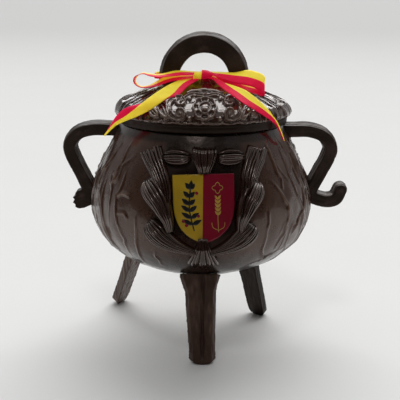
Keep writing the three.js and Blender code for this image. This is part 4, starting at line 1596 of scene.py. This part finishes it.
@dataclass
class Ribbon(Assembly):
    """One satin ribbon, tied in a bow round the feet of the lid's ring.

    Its loops and tails go by the yellow edge, the middle and the red edge, station by station.
    """

    thick: float = 0.24
    across: int = 12
    width: float = 0.010
    length: float = 0.375
    knot_turn: float = 24.0

    left_loop: tuple[Station, ...] = (
        ((-1, -6.6, 133.7), (-1, -10, 133.7), (-1, -13.4, 132.9)),
        ((-7.7, -5.6, 134.2), (-7.6, -10, 133.9), (-7.5, -14.2, 132.9)),
        ((-12.5, -5.4, 134.1), (-12, -10, 133.6), (-12.2, -14.6, 132.6)),
        ((-16.3, -5.4, 133.2), (-15.8, -10, 132.9), (-16, -14.6, 132.2)),
        ((-20.1, -5.4, 132.4), (-19.9, -10, 132.3), (-19.7, -14.6, 131.9)),
        ((-24.2, -5.4, 132.6), (-24.2, -10, 132.7), (-23.9, -14.6, 132.4)),
        ((-28, -5.4, 133), (-27.7, -10, 133.2), (-27.4, -14.6, 133.4)),
        ((-30.6, -5.4, 131.1), (-30.9, -10, 131.4), (-31.2, -14.6, 131.9)),
        ((-31.2, -5.4, 128.7), (-31.3, -10, 128.8), (-31.4, -14.6, 129)),
        ((-28.8, -5.4, 126.6), (-28.6, -10, 126.8), (-28.3, -14.6, 127)),
        ((-24.9, -5.4, 127.1), (-24.7, -10, 127.2), (-24.4, -14.6, 127.1)),
        ((-21.6, -5.4, 128.8), (-20.9, -10, 128.4), (-20.2, -14.6, 127.9)),
        ((-17.2, -5.4, 131.2), (-16.1, -10, 130.4), (-15.5, -14.6, 129.6)),
        ((-12, -5.6, 132), (-10.6, -10, 131.6), (-9.6, -14.4, 130.9)),
        ((-1, -6.6, 132.4), (-1, -10, 132.3), (-1, -13.4, 132)),
    )
    right_loop: tuple[Station, ...] = (
        ((2, -6.4, 133.8), (2.2, -10.4, 133.8), (2, -13.6, 132.9)),
        ((6.6, -6.2, 133.9), (6.6, -10.5, 133.6), (6.5, -13.8, 132.5)),
        ((14.7, -6, 133.5), (14.6, -11, 132.8), (14, -14.5, 129.9)),
        ((18.1, -6, 133.9), (18.4, -11, 132.4), (18.7, -14.7, 129)),
        ((22.3, -6, 134.8), (22.4, -11, 131.9), (22.8, -14.5, 128.2)),
        ((26.7, -6, 133.9), (26, -11, 130.9), (26.3, -14, 126.9)),
        ((29.6, -5.8, 132.6), (28.7, -10.8, 129.8), (28.9, -13.6, 125)),
        ((30.6, -5.4, 130.7), (30.1, -10.2, 128.4), (30.1, -13, 123.5)),
        ((29.2, -5.2, 128.6), (29.2, -10, 127.1), (27.9, -13.4, 123.3)),
        ((25.9, -5.4, 127.9), (26.5, -10.4, 126.5), (25, -13.9, 123.9)),
        ((21, -6, 129.1), (22.5, -10.8, 127.2), (21.7, -14.2, 125.9)),
        ((16.2, -6.4, 130.3), (18, -11, 128.7), (16.4, -14.3, 127.7)),
        ((11.4, -6.6, 131.7), (12.4, -11, 130.9), (11.3, -14, 129.3)),
        ((2, -6.8, 132.5), (2, -10.4, 132.3), (2, -13.2, 131.9)),
    )
    left_tail: tuple[Station, ...] = (
        ((-3.4, -8, 132.6), (-2, -11, 132), (-0.6, -13.6, 131.2)),
        ((-11.7, -14.5, 130), (-8.2, -17.5, 129.5), (-5.7, -19.8, 128.7)),
        ((-17.4, -21.5, 127.7), (-12.6, -25, 125.7), (-10.8, -26.6, 124.9)),
        ((-23.7, -28.6, 124), (-16.8, -31, 123.2), (-18.4, -27.6, 123.4)),
        ((-28.1, -33, 120.9), (-22.2, -33.6, 119.7), (-27.2, -29, 121.4)),
        ((-30.6, -34.2, 119), (-28.2, -33.9, 116.5), (-34.2, -28.6, 119.3)),
        ((-34.6, -32.4, 115.8), (-33.9, -31.8, 113.9), (-38.5, -26.2, 115.6)),
        ((-39.4, -28.4, 112.4), (-39.2, -27.6, 110.8), (-41, -24.6, 111.9)),
        ((-44.9, -22.4, 106), (-44.9, -22, 105), (-44.8, -21, 105.6)),
    )
    right_tail: tuple[Station, ...] = (
        ((6.4, -10.6, 132), (6.2, -12, 131.9), (5.2, -13.8, 131.7)),
        ((8.4, -14.6, 130.4), (10.3, -16.6, 130.1), (7.9, -18.8, 129.2)),
        ((14.9, -20.6, 129), (14.2, -23, 128.1), (11.2, -25.6, 127.2)),
        ((20.4, -25, 127.4), (17.8, -27.8, 126.2), (14.8, -30.6, 125.2)),
        ((24.2, -28, 125), (22.2, -31.6, 123.4), (19, -34.6, 122.8)),
        ((27.7, -28.8, 122.1), (26.6, -32, 120.7), (24.2, -35, 119.8)),
        ((30.8, -27.4, 119), (30.4, -30, 117.8), (28.4, -32.8, 117)),
        ((33.6, -25.4, 115.8), (33.4, -28.4, 115), (32.2, -29.6, 114.1)),
        ((36.4, -24, 110.9), (35.9, -27, 110.9), (35.2, -25, 110.6)),
        ((39.3, -22, 103.6), (38.9, -24, 104.1), (38.9, -22.2, 103.4)),
    )

    def close(self, skin: Skin, sheet: Array, along: Array, shift: float = 0.0) -> float:
        """Adds a sheet of points as a thin closed solid with its UV map.

        Args:
            skin: Where it is gathered.
            sheet: Points along and across.
            along: Millimetres along, for each row.
            shift: How far the colours lie to the yellow side of its middle.

        Returns:
            Its length in millimetres.
        """
        half = facing(sheet) * self.thick / 2
        rings = np.concatenate([sheet + half, (sheet - half)[:, ::-1]], 1)
        u = np.linspace(0.004, 0.996, sheet.shape[1]) + shift
        u = np.concatenate([u, u[::-1]])
        skin.loft(rings, np.stack(np.broadcast_arrays(u, along[:, None]), -1))
        return float(along[-1])

    def lay(self, skin: Skin, stations: tuple[Station, ...], samples: int) -> float:
        """Adds a loop or a tail in so many rows, folded at its middle, and returns its length."""
        yellow, middle, red = (spline([s[n] for s in stations], samples) for n in range(3))
        share = np.linspace(0, 1, self.across + 1)[:, None, None]
        to_middle = yellow + (middle - yellow) * 2 * share
        to_red = middle + (red - middle) * (2 * share - 1)
        flat = np.where(share < 0.5, to_middle, to_red)
        bowed = 2 * middle - (yellow + red) / 2
        soft = (1 - share) ** 2 * yellow + 2 * share * (1 - share) * bowed + share**2 * red
        return self.close(skin, (0.55 * flat + 0.45 * soft).transpose(1, 0, 2), lengths(middle))

    def knot(self, skin: Skin) -> float:
        """Adds the knot, a turn of ribbon drawn tight and creased, and returns its length."""
        turn, x = np.meshgrid(np.linspace(0, FULL_TURN, 61), np.linspace(-1, 1, 15), indexing="ij")
        places = (-1, -0.3, -0.16, 0.15, 1)
        tall = np.interp(x, places, (1.55, 1.5, 1.95, 1.95, 0.9))
        drop = np.interp(x, places, (0.6, 0.6, 0.15, 0.15, 0.3))
        deep = np.interp(x, places, (4.8, 4.7, 5.0, 4.9, 3.7))
        square = (np.abs(np.cos(turn)) ** 3 + np.abs(np.sin(turn)) ** 3) ** (-1 / 3)
        crease = 1 + 0.06 * np.sin(5 * x + 1.5) * np.cos(turn) + 0.045 * np.sin(9 * x + 2 * turn)
        y = -9.9 - deep * square * crease * np.cos(turn)
        z = 133.1 - drop + tall * square * crease * np.sin(turn)
        along = turn[:, 0] / FULL_TURN * self.knot_turn
        return self.close(skin, xyz(0.9 + 4.4 * x + 0.35 * np.sin(turn), y, z), along, 0.08)

    def band(self, skin: Skin) -> float:
        """Adds the part round the ring's feet, folded narrow, and returns its length."""
        turn = np.linspace(0, FULL_TURN, 121)
        square = (np.abs(np.cos(turn)) ** 8 + np.abs(np.sin(turn)) ** 8) ** (-1 / 8)
        path = xyz(23.1 * square * np.cos(turn), 5.2 * square * np.sin(turn))
        ahead = np.gradient(path, axis=0)
        outward = unit(xyz(ahead[:, 1], -ahead[:, 0]))
        half = [(-0.35, 0.0), (-0.45, 1.1), (-0.3, 2.1), (0, 2.35)]
        fold = np.array(half + [(-out, up) for out, up in half[-2::-1]])
        sheet = path[:, None] + (1.1, 0, 130.25) + outward[:, None] * fold[:, :1] + xyz(0.0, 0.0, fold[:, 1])
        return self.close(skin, sheet, running(np.linalg.norm(ahead, axis=1)[1:]))

    def make(self) -> None:
        skin = Skin()
        found = [self.lay(skin, loop, 110) for loop in (self.left_loop, self.right_loop)]
        found += [self.lay(skin, tail, 96) for tail in (self.left_tail, self.right_tail)]
        found += [self.knot(skin), self.band(skin)]
        LOG.info("ribbon lengths in mm: %s, in all %.0f", [round(n) for n in found], sum(found))
        piece = skin.build("satin_ribbon", self.bench, self.finish)
        hand_over(piece, "ribbon_bow", Slot.RIBBON)


# ---------------------------------------------------------------- studio


@dataclass
class Studio:
    """A pale floor, soft light from above and behind, and the camera."""

    bench: Bench
    camera_at: Point = (0.0, -450.0, 177.8)
    pitch: float = 13.54
    roll: float = 0.5
    lens: float = 83.385
    floor_size: float = 60.0
    floor_colour: Colour = (0.80, 0.80, 0.79)
    sun_from: Point = (0.10, 0.74, 0.70)
    sun_angle: float = 1.1
    sun_strength: float = 2.5
    card_at: float = -0.30
    card_size: Pair = (1.2, 0.45)
    box_at: Point = (-0.12, -0.75, 1.15)
    box_size: float = 0.22
    box_power: float = 1.9
    box_aim: Point = (0.0, 0.0, 90.0)
    backdrop: float = 0.8

    def camera(self) -> None:
        """Puts the camera where the picture was taken from."""
        data = bpy.data.cameras.new("camera")
        data.sensor_width, data.lens = 36.0, self.lens
        data.clip_start, data.clip_end = 0.01, 200.0
        piece = place_object("camera", data)
        tilt = Matrix.Rotation(math.radians(90 - self.pitch), 4, "X")
        spin = Matrix.Rotation(math.radians(self.roll), 4, "Z")
        at = Vector(self.bench.place(np.array(self.camera_at)))
        piece.matrix_world = Matrix.Translation(at) @ tilt @ spin
        bpy.context.scene.camera = piece

    @staticmethod
    def sheet(name: str, corners: Sequence[Point], finish: Finish) -> Piece:
        """Stages a flat sheet of four corners in metres."""
        mesh = bpy.data.meshes.new(name)
        mesh.from_pydata(corners, [], [(0, 1, 2, 3)])
        mesh.materials.append(finish.make())
        piece = place_object(name, mesh)
        return piece

    def floor(self) -> None:
        """Makes the pale floor, painted greyer far off."""
        h = self.floor_size / 2
        paper = PaperFinish("pale_paper", self.floor_colour)
        self.sheet("floor", [(-h, -h, 0), (h, -h, 0), (h, h, 0), (-h, h, 0)], paper)

    def card(self) -> None:
        """Stands a black card before the object, which only its reflections meet."""
        wide, tall, y = self.card_size[0] / 2, self.card_size[1], self.card_at
        corners = [(-wide, y, 0.001), (wide, y, 0.001), (wide, y, tall), (-wide, y, tall)]
        piece = self.sheet("black_card", corners, PlainFinish("black_card", (0.004, 0.004, 0.004)))
        piece.visible_camera = piece.visible_shadow = piece.visible_diffuse = False

    @staticmethod
    def lamp(name: str, data: bpy.types.Light, at: Point, away: Vector) -> None:
        """Hangs a light at a place, facing away from a direction."""
        piece = place_object(name, data)
        piece.location = Vector(at)
        piece.rotation_euler = away.to_track_quat("Z", "Y").to_euler()

    def lights(self) -> None:
        """Hangs the soft light behind and a small one, for the glints, above the camera."""
        sun = bpy.data.lights.new("window", "SUN")
        sun.energy, sun.angle = self.sun_strength, self.sun_angle
        self.lamp("window", sun, self.sun_from, Vector(self.sun_from))
        box = bpy.data.lights.new("softbox", "AREA")
        box.shape, box.size, box.energy = "SQUARE", self.box_size, self.box_power
        aim = Vector(self.bench.place(np.array(self.box_aim)))
        self.lamp("softbox", box, self.box_at, Vector(self.box_at) - aim)

    def surroundings(self) -> None:
        """Fills the surroundings with light, dark in front, and shows a pale backdrop."""
        world = bpy.data.worlds.new("studio")
        bpy.context.scene.world = world
        recipe = Recipe.dress(world)
        _, back, up = recipe.axes("Generated")
        level = back.ramp(-0.5, 0.7) * 0.42 + up.ramp(0.3, 0.95) * 0.36 + 0.02
        seen = recipe.node("ShaderNodeLightPath", output="Is Camera Ray")
        level = level + seen * (self.backdrop - level)
        inputs = {"Color": (1.0, 1.0, 1.0, 1.0), "Strength": level}
        recipe.end("ShaderNodeOutputWorld", recipe.node("ShaderNodeBackground", inputs=inputs))
        bpy.context.scene.view_settings.view_transform = "Standard"


# ---------------------------------------------------------------- the whole cauldron


def make_feet(bench: Bench, dim: Material) -> None:
    """Builds the feet: two matt ones, of which the left has a shinier copy that stands in for the light falling
    on it, and the right one in the darker finish, as painted shade.
    """
    dull = ChocolateFinish(
        "dull_chocolate", (0.048, 0.028, 0.021), worn_and_highlight_from=-0.1, worn_and_highlight_to=0.45, shine=0.15
    )
    # A shinier copy of the same chocolate, which stands in for the light falling on the left foot.
    sheen = replace(dull, name="sheen_chocolate", gloss=0.36, shine=0.5)
    Foot(bench, dull.make(), "front", 0.2, 41, broad_face=True).make()
    Foot(bench, dim, "right", 0.07, 42).make()
    Foot(bench, sheen.make(), "left", 0.26, 43).make()


def make_plaque(bench: Bench, belly: Belly) -> None:
    """Builds the plaque, yellow on the left and crimson on the right."""
    yellow, crimson = (0.36, 0.225, 0.012), (0.17, 0.002, 0.014)
    ink, gold = (0.012, 0.012, 0.010), (0.40, 0.24, 0.03)
    inlays = {
        Motif.SPRIG: GlazeFinish("sprig_glaze", ink, ink).make(),
        Motif.BERRIES: GlazeFinish("berry_glaze", crimson, crimson).make(),
        Motif.GILT: GlazeFinish("gilt_glaze", gold, gold, gloss=0.3).make(),
    }
    middle = float(bench.origin[0]) + Plaque.x * MM
    glaze = GlazeFinish("plaque_glaze", yellow, crimson, middle).make()
    Plaque(bench, glaze, belly, inlays).make()


def main() -> None:
    """Builds the cauldron piece by piece."""
    logging.basicConfig(level=logging.INFO, format="%(name)s: %(message)s")
    bench = Bench.from_frame()
    Ribbon(bench, SatinFinish("woven_satin").make()).make()
    bloomed = ChocolateFinish(
        "bloomed_chocolate", (0.042, 0.018, 0.011), worn_and_highlight=(0.135, 0.080, 0.056), worn_and_highlight_to=0.95,
        gloss=0.28, coat=0.35, wave=0.13,
    )
    glossy = ChocolateFinish(
        "glossy_chocolate", (0.018, 0.007, 0.004), worn_and_highlight=(0.062, 0.034, 0.025), gloss=0.18,
        shine=0.8, coat=0.35, wave=0.03, grain=0.002,
    )
    # Its pale colour, which the raised lines on the handles and the ring take, is partly wear and partly a
    # painted highlight on their tops.
    moulded = ChocolateFinish(
        "moulded_chocolate", (0.020, 0.014, 0.010), worn_and_highlight=(0.17, 0.105, 0.094), worn_and_highlight_from=0.0,
        worn_and_highlight_to=0.4, gloss=0.46, shine=0.13,
    ).make()
    bark = ChocolateFinish(
        "bark_chocolate", (0.030, 0.013, 0.008), worn_and_highlight_from=0.0, gloss=0.16, coat=0.7, wave=0.04,
        grain=0.004,
    )
    # A darker chocolate that paints shade on the lid's rim band and underside and on the right foot.
    dim = ChocolateFinish(
        "shade_painted_chocolate", (0.012, 0.006, 0.003), worn_and_highlight=(0.03, 0.016, 0.01), shine=0.12, coat=0.05
    ).make()
    tree = StrandTree()
    belly = Belly(bench, bloomed.make())
    belly.make()
    Wreath(bench, glossy.make(), belly, tree).make()
    Handles(bench, moulded).make()
    Lid(bench, bark.make(), dim, tree).make()
    Ring(bench, moulded).make()
    make_feet(bench, dim)
    make_plaque(bench, belly)
    studio = Studio(bench)
    studio.camera()
    studio.floor()
    studio.card()
    studio.lights()
    studio.surroundings()


if __name__ == "__main__":
    main()
